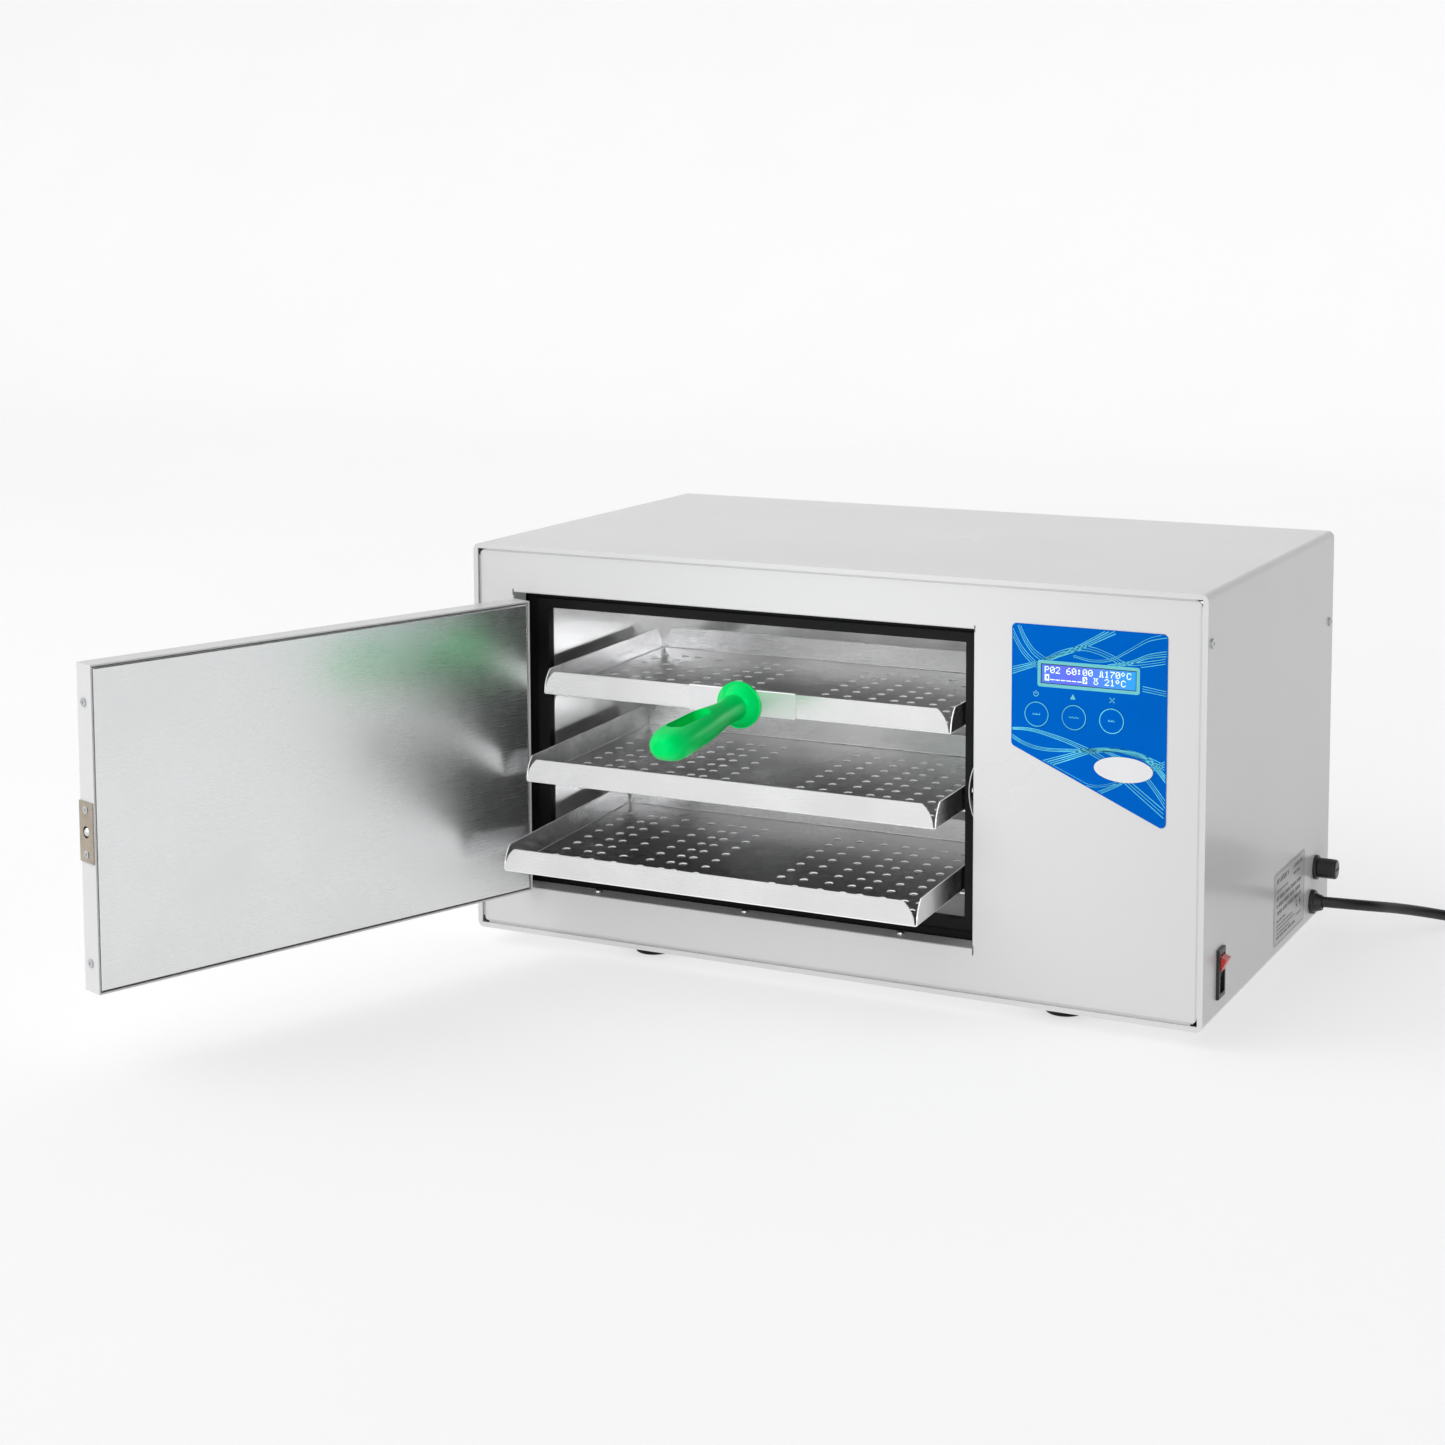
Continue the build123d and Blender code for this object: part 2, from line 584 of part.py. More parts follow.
with BuildPart(door_plane) as door_shell:
    block(door_u0, door_u1, door_n0, door_n1, door_z0, door_z1)
    fillet(door_shell.faces().sort_by(Axis((0, 0, 0), door_plane.y_dir))[0].edges(), 1.4)
    block(door_u0 + 1, door_u1 - 1, door_n0 + 1, door_n1 + 1, door_z0 + 1, door_z1 - 1, Mode.SUBTRACT)
    block(door_u1 - 2, door_u1 + 2, 5.6, 18.6, catch_z - 11.6, catch_z + 11.6, Mode.SUBTRACT)
    for edge_z in (63.2, catch_z - 13.6, catch_z + 13.6, 222.2):
        disc_x(door_u1 - 2, door_u1 + 2, 12.0, edge_z, 1.7, Mode.SUBTRACT)
write(door_shell, "door_shell")

with BuildPart(door_plane) as door_liner:
    block(door_u0 + 1.6, door_u1 - 1.6, 11.5, door_n1 - 0.1, door_z0 + 1.6, door_z1 - 1.6)
    fillet(door_liner.faces().sort_by(Axis((0, 0, 0), door_plane.y_dir))[-1].edges(), 1.3)
    block(door_u0 + 2.4, door_u1 - 2.4, 11.0, door_n1 - 0.9, door_z0 + 2.4, door_z1 - 2.4, Mode.SUBTRACT)
    block(door_u1 - 4, door_u1, 10.0, 19.0, catch_z - 16.5, catch_z + 16.5, Mode.SUBTRACT)
    for edge_z in (63.2, 222.2):
        disc_x(door_u1 - 4, door_u1, 12.0, edge_z, 2.0, Mode.SUBTRACT)
write(door_liner, "door_liner")

with BuildPart(door_plane) as door_insulation:
    block(door_u0 + 3.0, door_u1 - 14.0, door_n0 + 1.2, door_n1 - 1.1, door_z0 + 3.0, door_z1 - 3.0)
write(door_insulation, "door_insulation")

with BuildPart(door_plane) as catch_body:
    block(door_u1, door_u1 + 0.9, 4.4, 19.8, catch_z - 18.5, catch_z + 18.5)
    block(door_u1 - 11, door_u1, 6.2, 18.0, catch_z - 11.0, catch_z + 11.0)
    disc_x(door_u1 - 9, door_u1 + 2, 12.0, catch_z, 3.6, Mode.SUBTRACT)
    for plate_z in (catch_z - 13.6, catch_z + 13.6):
        disc_x(door_u1 - 2, door_u1 + 2, 12.0, plate_z, 1.6, Mode.SUBTRACT)
write(catch_body, "catch_body")

with BuildPart(door_plane) as catch_ball:
    disc_x(door_u1 - 5.0, door_u1 - 1.6, 12.0, catch_z, 3.3)
    with Locations((door_u1 - 1.6, 12.0, catch_z)):
        Sphere(3.3)
write(catch_ball, "catch_ball")

with BuildPart(door_plane) as door_screws:
    for edge_z in (63.2, 222.2):
        disc_x(door_u1 - 7, door_u1, 12.0, edge_z, 1.5)
        disc_x(door_u1, door_u1 + 0.9, 12.0, edge_z, 2.7)
        with Locations((door_u1 + 0.9, 12.0, edge_z)):
            Box(0.9, 3.0, 0.6, mode=Mode.SUBTRACT)
            Box(0.9, 0.6, 3.0, mode=Mode.SUBTRACT)
    for plate_z in (catch_z - 13.6, catch_z + 13.6):
        disc_x(door_u1 - 5, door_u1 + 0.95, 12.0, plate_z, 1.5)
        disc_x(door_u1 + 0.95, door_u1 + 1.25, 12.0, plate_z, 2.4)
        with Locations((door_u1 + 1.25, 12.0, plate_z)):
            Box(0.9, 2.6, 0.5, mode=Mode.SUBTRACT)
            Box(0.9, 0.5, 2.6, mode=Mode.SUBTRACT)
write(door_screws, "door_screws")

# Strike: a bowed leaf that looks out of a window in the right jamb, and the box it springs back into
bow = 4.7
with BuildPart() as strike_leaf:
    with BuildSketch(Plane.XZ.offset(149.0)):
        with BuildLine():
            outer_arc = ThreePointArc(
                (open_x1 + 0.4, catch_z - 20.0), (open_x1 - bow, catch_z), (open_x1 + 0.4, catch_z + 20.0)
            )
            Line(outer_arc @ 1, (open_x1 + 1.0, catch_z + 20.0))
            inner_arc = ThreePointArc(
                (open_x1 + 1.0, catch_z + 20.0), (open_x1 - bow + 0.6, catch_z), (open_x1 + 1.0, catch_z - 20.0)
            )
            Line(inner_arc @ 1, outer_arc @ 0)
        make_face()
    extrude(amount=-9.0)
    disc_x(open_x1 - 6, open_x1 + 2, -145.0, catch_z, 2.2, Mode.SUBTRACT)
write(strike_leaf, "strike_leaf")

with BuildPart() as strike_box:
    block(open_x1 + 1.3, open_x1 + 8.0, -150.5, -138.5, catch_z - 25, catch_z + 25)
    block(open_x1 + 1.0, open_x1 + 7.0, -149.5, -139.5, catch_z - 23.5, catch_z + 23.5, Mode.SUBTRACT)
write(strike_box, "strike_box")


# Trays: a sheet folded up on four sides, with two groups of holes. They lean a little to the front.
hole_columns = (
    15.4, 32.3, 42.6, 59.9, 80.4, 96.1, 105.4, 122.3, 178.0, 194.3, 212.4, 228.5, 240.2, 256.1, 271.6, 282.5,
)
hole_rows = [27.0 + 15.0 * row for row in range(9)]


def fold_profile(plane, length):
    """The outline of a tray's upright fold, whose ends are rounded off."""
    half = length / 2 - tray_notch
    with BuildSketch(plane) as profile:
        with BuildLine():
            Line((-half, 0), (half, 0))
            Line((half, 0), (half, 1.8))
            ThreePointArc((half, 1.8), (half - 2.2, 9.5), (half - 7.5, tray_height))
            Line((half - 7.5, tray_height), (7.5 - half, tray_height))
            ThreePointArc((7.5 - half, tray_height), (2.2 - half, 9.5), (-half, 1.8))
            Line((-half, 1.8), (-half, 0))
        make_face()
    return profile.sketch


for tray_name, tray_floor, tray_front, tray_lean in zip(
    ("tray_top", "tray_middle", "tray_bottom"), tray_floors, tray_fronts, tray_leans
):
    tray_back = tray_front + tray_length
    tray_width = tray_x1 - tray_x0
    mid_x = (tray_x0 + tray_x1) / 2
    mid_y = (tray_front + tray_back) / 2
    with BuildPart() as tray:
        block(
            tray_x0 + tray_notch, tray_x1 - tray_notch, tray_front, tray_back,
            tray_floor, tray_floor + tray_sheet,
        )
        block(
            tray_x0, tray_x1, tray_front + tray_notch, tray_back - tray_notch,
            tray_floor, tray_floor + tray_sheet,
        )
        for fold_y, inwards in ((tray_front, -1), (tray_back, 1)):
            fold_plane = Plane(origin=(mid_x, fold_y, tray_floor), x_dir=(1, 0, 0), z_dir=(0, -1, 0))
            extrude(fold_profile(fold_plane, tray_width), amount=inwards * tray_sheet)
        for fold_x, inwards in ((tray_x0, 1), (tray_x1, -1)):
            fold_plane = Plane(origin=(fold_x, mid_y, tray_floor), x_dir=(0, 1, 0), z_dir=(1, 0, 0))
            extrude(fold_profile(fold_plane, tray_length), amount=inwards * tray_sheet)
        long_edges = tray.edges().filter_by(lambda edge: edge.length > 150)
        fillet(long_edges.group_by(Axis.Z)[0], 1.3)
        long_edges = tray.edges().filter_by(lambda edge: edge.length > 150)
        fillet(long_edges.filter_by_position(Axis.Z, tray_floor + 0.7, tray_floor + 0.9), 0.5)
        with BuildSketch(Plane.XY.offset(tray_floor - 1)):
            with Locations(*[(tray_x0 + x, tray_front + y) for x in hole_columns for y in hole_rows]):
                Circle(2.8)
        extrude(amount=3, mode=Mode.SUBTRACT)
    write(tray, tray_name, tray_lean, (0, tray_front, tray_floor))

# Tray lifter: a moulded grip on a steel clip that hooks over the top tray's front fold
clip_front = tray_fronts[0] - 1.1
clip_top = tray_floors[0] + tray_height + 1.0
pin_xs = (grip_x - 9.0, grip_x + 9.0)
lifter_lean = (tray_leans[0], (0, tray_fronts[0], tray_floors[0]))
with BuildPart() as lifter_clip:
    block(clip_x0, clip_x1, clip_front, clip_front + 1, clip_top - 17.2, clip_top)
    block(clip_x0, clip_x1, clip_front, clip_front + 3.7, clip_top - 0.9, clip_top)
    block(clip_x0, clip_x1, clip_front + 2.9, clip_front + 3.7, clip_top - 5.0, clip_top)
    fillet(lifter_clip.edges().filter_by(Axis.X).group_by(Axis.Z)[-1], 0.6)
    for pin_x in pin_xs:
        disc_y(pin_x, clip_front - 1, clip_front + 2, grip_z, 2.05, Mode.SUBTRACT)
write(lifter_clip, "lifter_clip", *lifter_lean)

grip_axis = Plane(
    origin=(grip_x, clip_front, grip_z), x_dir=(1, 0, 0),
    z_dir=(0, -cos(radians(grip_tilt)), -sin(radians(grip_tilt))),
)
grip_sections = (
    (2.0, 18.0, 18.0, 8.9), (12.0, 16.8, 16.8, 8.3), (30.0, 17.0, 17.0, 8.4), (62.0, 24.0, 20.5, 10.0),
    (88.0, 26.6, 21.4, 10.6), (100.0, 24.4, 19.6, 9.7), (106.5, 18.5, 14.6, 7.2), (109.5, 10.5, 8.0, 3.9),
)
with BuildPart() as grip:
    disc_y(grip_x, clip_front - 1.6, clip_front, grip_z, 15.7)
    with Locations((grip_x, clip_front + 7.0, grip_z)):
        Sphere(17.2)
    for distance, section_w, section_h, section_r in grip_sections:
        with BuildSketch(grip_axis.offset(distance)):
            RectangleRounded(section_w, section_h, section_r)
    loft()
    block(grip_x - 30, grip_x + 30, clip_front, clip_front + 30, grip_z - 30, grip_z + 30, Mode.SUBTRACT)
    for pin_x in pin_xs:
        disc_y(pin_x, clip_front - 6, clip_front + 1, grip_z, 2.05, Mode.SUBTRACT)
    with BuildSketch(Plane.XY.offset(grip_z - 40)):
        with Locations((grip_x, -231.4)):
            SlotOverall(46.6, 12.6, rotation=90)
    extrude(amount=60, mode=Mode.SUBTRACT)
write(grip, "grip", *lifter_lean)

with BuildPart() as clip_rivets:
    for pin_x in pin_xs:
        disc_y(pin_x, clip_front - 6, clip_front + 1, grip_z, 2.0)
write(clip_rivets, "clip_rivets", *lifter_lean)

# Mains cord: it leaves the right side, falls to the bench and runs off to a neat coil, with its plug beside it
with BuildPart() as cord:
    with BuildLine():
        FilletPolyline(
            (240.0, 109.4, 25.7), (292.0, 110.5, 27.0), (314.0, 158.0, 15.0), (350.0, 190.0, 3.8),
            (391.8, 195.0, 3.8), radius=[37.5, 60.0, 66.0],
        )
    with BuildSketch(Plane(origin=(240.0, 109.4, 25.7), z_dir=(52.0, 1.1, 1.3))):
        Circle(cord_diameter / 2)
    sweep()
write(cord, "cord")

# The coil is one ring, three cords wide and two high, held by a tie
with BuildPart() as coil:
    with BuildSketch(Plane.XZ.offset(-coil_y)):
        with Locations((coil_x + coil_middle, coil_z0 + coil_height / 2)):
            RectangleRounded(coil_band, coil_height, 3.7)
    revolve(axis=Axis((coil_x, coil_y, 0), (0, 0, 1)))
write(coil, "coil")

tie_angle = radians(120)
tie_plane = Plane(
    origin=(coil_x, coil_y, 0), x_dir=(cos(tie_angle), sin(tie_angle), 0),
    z_dir=(sin(tie_angle), -cos(tie_angle), 0),
)
with BuildPart() as coil_tie:
    with BuildSketch(tie_plane):
        with Locations((coil_middle, coil_z0 + coil_height / 2)):
            RectangleRounded(coil_band + 2 * tie_sheet, coil_height + 2 * tie_sheet, 4.5)
            RectangleRounded(coil_band, coil_height, 3.7, mode=Mode.SUBTRACT)
    revolve(axis=Axis((coil_x, coil_y, 0), (0, 0, 1)), revolution_arc=15)
write(coil_tie, "coil_tie")

# Tail of the cord and its plug, lying beside the coil
turn = radians(plug_heading)
outer_turn = coil_middle + cord_diameter
tail_x = coil_x + outer_turn * sin(turn)
tail_y = coil_y - outer_turn * cos(turn)


def along_tail(distance, z):
    """A point on the line that the tail and the plug lie on."""
    return (tail_x + distance * cos(turn), tail_y + distance * sin(turn), z)


with BuildPart() as cord_tail:
    with BuildLine():
        FilletPolyline(
            along_tail(0, 12.0), along_tail(14, 12.0), along_tail(33, 16.2), along_tail(47, 16.2),
            radius=50.0,
        )
    with BuildSketch(Plane(origin=along_tail(0, 12.0), z_dir=(cos(turn), sin(turn), 0))):
        Circle(cord_diameter / 2)
    sweep()
write(cord_tail, "cord_tail")

plug_plane = Plane(
    origin=along_tail(47, 16.2), x_dir=(-sin(turn), cos(turn), 0), z_dir=(cos(turn), sin(turn), 0),
)
with BuildPart(plug_plane) as plug:
    with Locations((0, 0, 9)):
        Cone(5.4, 8.0, 18)
    disc_z(0, 0, 18, 46, 16.0)
    fillet(plug.edges().filter_by(GeomType.CIRCLE).sort_by(SortBy.RADIUS)[-2:], 3.0)
write(plug, "plug")

with BuildPart(plug_plane) as plug_pins:
    for pin_x in (-9.5, 9.5):
        disc_z(pin_x, 0, 46, 65, 2.4)
    fillet(plug_pins.faces().sort_by(Axis((0, 0, 0), plug_plane.z_dir))[-2:].edges(), 1.0)
write(plug_pins, "plug_pins")
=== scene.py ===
import bpy
import json
import math
from mathutils import Matrix, Vector


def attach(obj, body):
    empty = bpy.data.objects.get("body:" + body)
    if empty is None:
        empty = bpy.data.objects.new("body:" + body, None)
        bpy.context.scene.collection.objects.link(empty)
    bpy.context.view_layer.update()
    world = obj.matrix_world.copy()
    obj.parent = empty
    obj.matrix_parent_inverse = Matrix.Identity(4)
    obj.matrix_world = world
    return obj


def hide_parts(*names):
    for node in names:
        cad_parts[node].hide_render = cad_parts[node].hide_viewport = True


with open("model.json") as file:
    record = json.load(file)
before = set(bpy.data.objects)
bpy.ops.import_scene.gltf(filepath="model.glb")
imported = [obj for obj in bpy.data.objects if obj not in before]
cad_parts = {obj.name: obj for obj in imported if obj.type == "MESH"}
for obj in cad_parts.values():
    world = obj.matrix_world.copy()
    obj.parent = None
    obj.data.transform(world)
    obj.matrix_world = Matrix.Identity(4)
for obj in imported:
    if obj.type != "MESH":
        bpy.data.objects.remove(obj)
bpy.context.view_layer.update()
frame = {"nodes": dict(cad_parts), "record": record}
nodes = frame["nodes"]

# The cabinet's own measurements, in millimetres from the point under its centre, as in the part's source.
# at() turns such a point into the row frame, in metres.
foot = (-139.0, -119.0)
side_x = 259.0
panel_y = -153.5
door_angle = math.radians(110.0)
lcd_left, lcd_right, lcd_low, lcd_high = 153.0, 214.5, 218.3, 230.8
rocker_split_z = 40.5


def at(x, y, z):
    return Vector(((x - foot[0]) / 1000, (y - foot[1]) / 1000, z / 1000))


# ---------------------------------------------------------------- camera
camera_place = at(691.944, -1651.978, 530.959)
yaw = math.radians(26.874)
pitch = math.radians(5.809)
roll = math.radians(-0.204)
forward = Vector((-math.sin(yaw) * math.cos(pitch), math.cos(yaw) * math.cos(pitch), -math.sin(pitch)))
level = Vector((math.cos(yaw), math.sin(yaw), 0))
upward = level.cross(forward)
right = level * math.cos(roll) + upward * math.sin(roll)
above = upward * math.cos(roll) - level * math.sin(roll)
camera_data = bpy.data.cameras.new("camera")
camera_data.sensor_width = 36.0
camera_data.lens = 64.52
camera_data.shift_y = -0.1955
camera_data.clip_start = 0.05
camera_data.clip_end = 100.0
camera = bpy.data.objects.new("camera", camera_data)
bpy.context.scene.collection.objects.link(camera)
turned = Matrix((right, above, -forward)).transposed().to_4x4()
camera.matrix_world = Matrix.Translation(camera_place) @ turned
bpy.context.scene.camera = camera


# ---------------------------------------------------------------- materials
class Shader:
    """A small helper that makes a Principled material and the nodes that feed it."""

    def __init__(self, name):
        self.material = bpy.data.materials.new(name)
        self.material.use_nodes = True
        self.tree = self.material.node_tree
        self.main = self.tree.nodes["Principled BSDF"]

    def node(self, kind, **settings):
        made = self.tree.nodes.new(kind)
        for key, value in settings.items():
            setattr(made, key, value)
        return made

    def link(self, source, target):
        self.tree.links.new(source, target)

    def set(self, **values):
        for key, value in values.items():
            self.main.inputs[key.replace("_", " ")].default_value = value

    def feed(self, source, *inputs):
        for name in inputs:
            self.link(source, self.main.inputs[name])

    def coordinates(self, scale=(1, 1, 1), turn=0.0):
        """Object coordinates, turned about Z and then scaled."""
        source = self.node("ShaderNodeTexCoord").outputs["Object"]
        for rotation, size in (((0, 0, turn), (1, 1, 1)), ((0, 0, 0), scale)):
            mapping = self.node("ShaderNodeMapping")
            mapping.inputs["Rotation"].default_value = rotation
            mapping.inputs["Scale"].default_value = size
            self.link(source, mapping.inputs["Vector"])
            source = mapping.outputs["Vector"]
        return source

    def noise(self, vector, scale, detail=4.0, roughness=0.55):
        made = self.node("ShaderNodeTexNoise")
        made.inputs["Scale"].default_value = scale
        made.inputs["Detail"].default_value = detail
        made.inputs["Roughness"].default_value = roughness
        self.link(vector, made.inputs["Vector"])
        return made.outputs["Fac"]

    def spread(self, value, low, high, start=0.3, end=0.7):
        made = self.node("ShaderNodeMapRange")
        made.inputs["From Min"].default_value = start
        made.inputs["From Max"].default_value = end
        made.inputs["To Min"].default_value = low
        made.inputs["To Max"].default_value = high
        self.link(value, made.inputs["Value"])
        return made.outputs["Result"]

    def ramp(self, value, stops):
        made = self.node("ShaderNodeValToRGB")
        elements = made.color_ramp.elements
        while len(elements) < len(stops):
            elements.new(0.5)
        for element, (place, colour) in zip(elements, stops):
            element.position = place
            element.color = (*colour, 1)
        self.link(value, made.inputs["Fac"])
        return made.outputs["Color"]

    def mottle(self, value, colour, variation, start=0.35, end=0.65):
        """The colour, darker by the variation where the value is low."""
        dark = tuple(c * (1 - variation) for c in colour)
        return self.ramp(value, ((start, dark), (end, colour)))

    def bump(self, value, distance, strength=1.0, under=None):
        made = self.node("ShaderNodeBump")
        made.inputs["Distance"].default_value = distance
        made.inputs["Strength"].default_value = strength
        self.link(value, made.inputs["Height"])
        if under is not None:
            self.link(under, made.inputs["Normal"])
        return made.outputs["Normal"]


def painted(name, colour, rough=0.3, grain=1400.0, depth=0.00002, variation=0.03, coat=0.25):
    """Powder coat: a faint orange peel, small changes of tone and of gloss."""
    s = Shader(name)
    vector = s.coordinates()
    peel = s.noise(vector, grain, 2.0)
    cloud = s.noise(vector, 9.0, 3.0)
    s.feed(s.mottle(cloud, colour, variation), "Base Color")
    s.feed(s.spread(cloud, rough - 0.03, rough + 0.04), "Roughness")
    s.feed(s.bump(peel, depth, 0.5), "Normal")
    s.set(Coat_Weight=coat, Coat_Roughness=0.12)
    return s.material


def brushed(name, colour, rough=0.3, along=(0.012, 1, 1), turn=0.0, fine=5200.0, depth=0.0000012, metal=1.0):
    """Brushed sheet: long fine scratches, a soft cloudiness and a little grime."""
    s = Shader(name)
    lines = s.noise(s.coordinates(along, turn), fine, 3.0, 0.7)
    broad = s.noise(s.coordinates(tuple(a if a < 1 else 0.25 for a in along), turn), fine, 2.0)
    cloud = s.noise(s.coordinates(), 14.0, 5.0)
    tone = s.node("ShaderNodeMix", data_type="RGBA")
    tone.blend_type = "MULTIPLY"
    tone.inputs["Factor"].default_value = 1.0
    s.link(s.mottle(lines, colour, 0.05, 0.3, 0.7), tone.inputs["A"])
    s.link(s.mottle(cloud, (1, 1, 1), 0.1, 0.3, 0.7), tone.inputs["B"])
    s.feed(tone.outputs["Result"], "Base Color")
    rough_map = s.node("ShaderNodeMath", operation="ADD")
    s.link(s.spread(lines, rough - 0.03, rough + 0.03), rough_map.inputs[0])
    s.link(s.spread(cloud, -0.03, 0.05), rough_map.inputs[1])
    s.feed(rough_map.outputs["Value"], "Roughness")
    s.feed(s.bump(broad, depth, 0.25, s.bump(lines, depth, 0.4)), "Normal")
    s.set(Metallic=metal)
    return s.material


def moulded(
    name, colour, rough=0.4, grain=700.0, depth=0.00003, coat=0.0, subsurface=0.0, variation=0.12,
    tint=(1, 1, 1), ior=None,
):
    """Moulded plastic or rubber: a fine spark-eroded grain, with uneven gloss."""
    s = Shader(name)
    vector = s.coordinates()
    grains = s.noise(vector, grain, 3.0)
    cloud = s.noise(vector, 35.0, 4.0)
    s.feed(s.mottle(cloud, colour, variation), "Base Color")
    s.feed(s.spread(cloud, rough - 0.05, rough + 0.06), "Roughness")
    s.feed(s.bump(grains, depth, 0.5), "Normal")
    s.set(Coat_Weight=coat, Coat_Roughness=0.2, Subsurface_Weight=subsurface, Subsurface_Scale=0.002)
    s.set(Specular_Tint=(*tint, 1))
    if ior is not None:
        s.set(IOR=ior)
    return s.material


def plated(name, colour, rough=0.25, variation=0.2, scale=60.0):
    """Plated steel: a bright metal with faint stains and handling marks."""
    s = Shader(name)
    vector = s.coordinates()
    cloud = s.noise(vector, scale, 6.0, 0.65)
    marks = s.noise(vector, 900.0, 3.0)
    s.feed(s.mottle(cloud, colour, variation), "Base Color")
    s.feed(s.spread(marks, rough - 0.06, rough + 0.1), "Roughness")
    s.feed(s.bump(marks, 0.00001, 0.4), "Normal")
    s.set(Metallic=1.0)
    return s.material


white_paint = painted("white_paint", (0.63, 0.63, 0.633), variation=0.012, coat=0.3)
stainless_flat = brushed("stainless_flat", (0.88, 0.88, 0.885), 0.25, depth=0.0000003)
stainless_clip = brushed("stainless_clip", (0.84, 0.84, 0.85), 0.36, (1, 0.012, 0.012), depth=0.0000003)
# Painted shade: a darker copy of the tray steel, laid on the trays' floors where shade and dim reflections
# fall
painted_floor_shade = brushed("painted_floor_shade", (0.34, 0.34, 0.345), 0.28, depth=0.0000003)
stainless_door = brushed(
    "stainless_door", (0.87, 0.875, 0.88), 0.26, (0.012, 1, 1), door_angle, depth=0.0000004,
)
stainless_room = brushed("stainless_room", (1.0, 1.0, 1.0), 0.17, (1, 1, 0.012), depth=0.0000003, metal=0.85)
# Painted highlight: a white, non-metal copy of the steel for the trays' cut edges, bends and hole walls,
# standing in for light caught on them
painted_edge_highlight = brushed("painted_edge_highlight", (1.0, 1.0, 1.0), 0.5, (0.05, 1, 1), metal=0.0)
black_rubber = moulded("black_rubber", (0.008, 0.008, 0.009), 0.5, ior=1.25)
black_enamel = moulded("black_enamel", (0.012, 0.012, 0.013), 0.35, coat=0.3)
black_plastic = moulded("black_plastic", (0.018, 0.018, 0.02), 0.38)
green_plastic = moulded(
    "green_plastic", (0.0, 0.67, 0.125), 0.36, 900.0, 0.00001, 0.0, 0.08, 0.06, tint=(0.0, 0.9, 0.4),
)
zinc = plated("zinc", (0.62, 0.63, 0.65), 0.32)
nickel = plated("nickel", (0.5, 0.44, 0.36), 0.34, 0.3)
bright_steel = plated("bright_steel", (0.78, 0.78, 0.79), 0.18)
brass_pins = plated("brass_pins", (0.78, 0.74, 0.62), 0.22)
sheath = plated("sheath", (0.2, 0.18, 0.17), 0.5, 0.4)
cord_black = moulded("cord_black", (0.012, 0.012, 0.013), 0.42, 1200.0)
mineral_wool = moulded("mineral_wool", (0.5, 0.42, 0.24), 0.9, 300.0, 0.001)
circuit_green = moulded("circuit_green", (0.02, 0.2, 0.07), 0.35, 200.0)
badge_white = moulded("badge_white", (0.7, 0.7, 0.715), 0.3, 900.0, 0.000005, 0.2, 0.0, 0.03)
label_silver = moulded("label_silver", (0.5, 0.5, 0.505), 0.35, 1500.0, 0.000005, 0.2, 0.0, 0.05)
film_blue = moulded(
    "film_blue", (0.0, 0.104, 0.49), 0.32, 2500.0, 0.000005, 0.0, 0.0, 0.04, tint=(0.0, 0.45, 1.0), ior=1.3,
)
ink_teal = moulded("ink_teal", (0.15, 0.72, 0.85), 0.4, 90.0, 0.0, 0.0, 0.0, 0.45, tint=(0.3, 0.8, 1.0))
ink_frame = moulded("ink_frame", (0.14, 0.52, 0.56), 0.4, 90.0, 0.0, 0.0, 0.0, 0.08, tint=(0.4, 0.9, 1.0))
# Dark ink for the plate's print, also used as painted shade at the display window's edge
ink_and_shade_dark = moulded("ink_and_shade_dark", (0.02, 0.02, 0.023), 0.6, 90.0, 0.0, 0.0, 0.0, 0.3)
cap_grey = moulded("cap_grey", (0.13, 0.15, 0.15), 0.4, 900.0)


def backlit():
    """The display's face: lit from behind, bluer at its left and brighter at its right."""
    s = Shader("display_face")
    across = s.node("ShaderNodeSeparateXYZ")
    s.link(s.node("ShaderNodeTexCoord").outputs["Object"], across.inputs["Vector"])
    place = s.spread(across.outputs["X"], 0.0, 1.0, at(lcd_left, 0, 0).x, at(lcd_right, 0, 0).x)
    colour = s.ramp(place, ((0.0, (0.04, 0.14, 0.6)), (0.3, (0.08, 0.1, 0.7)), (1.0, (0.0, 0.27, 0.75))))
    s.feed(colour, "Base Color", "Emission Color")
    s.set(Emission_Strength=0.33, Roughness=0.12, Coat_Weight=0.1, Coat_Roughness=0.04)
    return s.material


def lit_white():
    """The display's dots: a pale blue white that glows."""
    s = Shader("display_dots")
    cloud = s.noise(s.coordinates(), 200.0)
    colour = s.ramp(cloud, ((0.3, (0.7, 0.82, 1.0)), (0.7, (0.85, 0.92, 1.0))))
    s.feed(colour, "Base Color", "Emission Color")
    s.set(Emission_Strength=0.55, Roughness=0.3)
    return s.material


def rocker_plastic():
    """Black below and red above the rocker's middle, as two plastics moulded together."""
    s = Shader("rocker_plastic")
    vector = s.coordinates()
    cloud = s.noise(vector, 60.0, 4.0)
    up = s.node("ShaderNodeSeparateXYZ")
    s.link(vector, up.inputs["Vector"])
    step = s.node("ShaderNodeMath", operation="GREATER_THAN")
    s.link(up.outputs["Z"], step.inputs[0])
    step.inputs[1].default_value = rocker_split_z / 1000
    mix = s.node("ShaderNodeMix", data_type="RGBA")
    s.link(step.outputs["Value"], mix.inputs["Factor"])
    s.link(s.ramp(cloud, ((0.35, (0.014, 0.014, 0.016)), (0.65, (0.02, 0.02, 0.022)))), mix.inputs["A"])
    s.link(s.ramp(cloud, ((0.35, (0.62, 0.03, 0.03)), (0.65, (0.72, 0.05, 0.045)))), mix.inputs["B"])
    s.feed(mix.outputs["Result"], "Base Color")
    s.feed(s.spread(cloud, 0.22, 0.34), "Roughness")
    s.set(Coat_Weight=0.3, Coat_Roughness=0.1, Subsurface_Weight=0.1, Subsurface_Scale=0.001)
    return s.material


display_face = backlit()
display_dots = lit_white()
rocker_red = rocker_plastic()

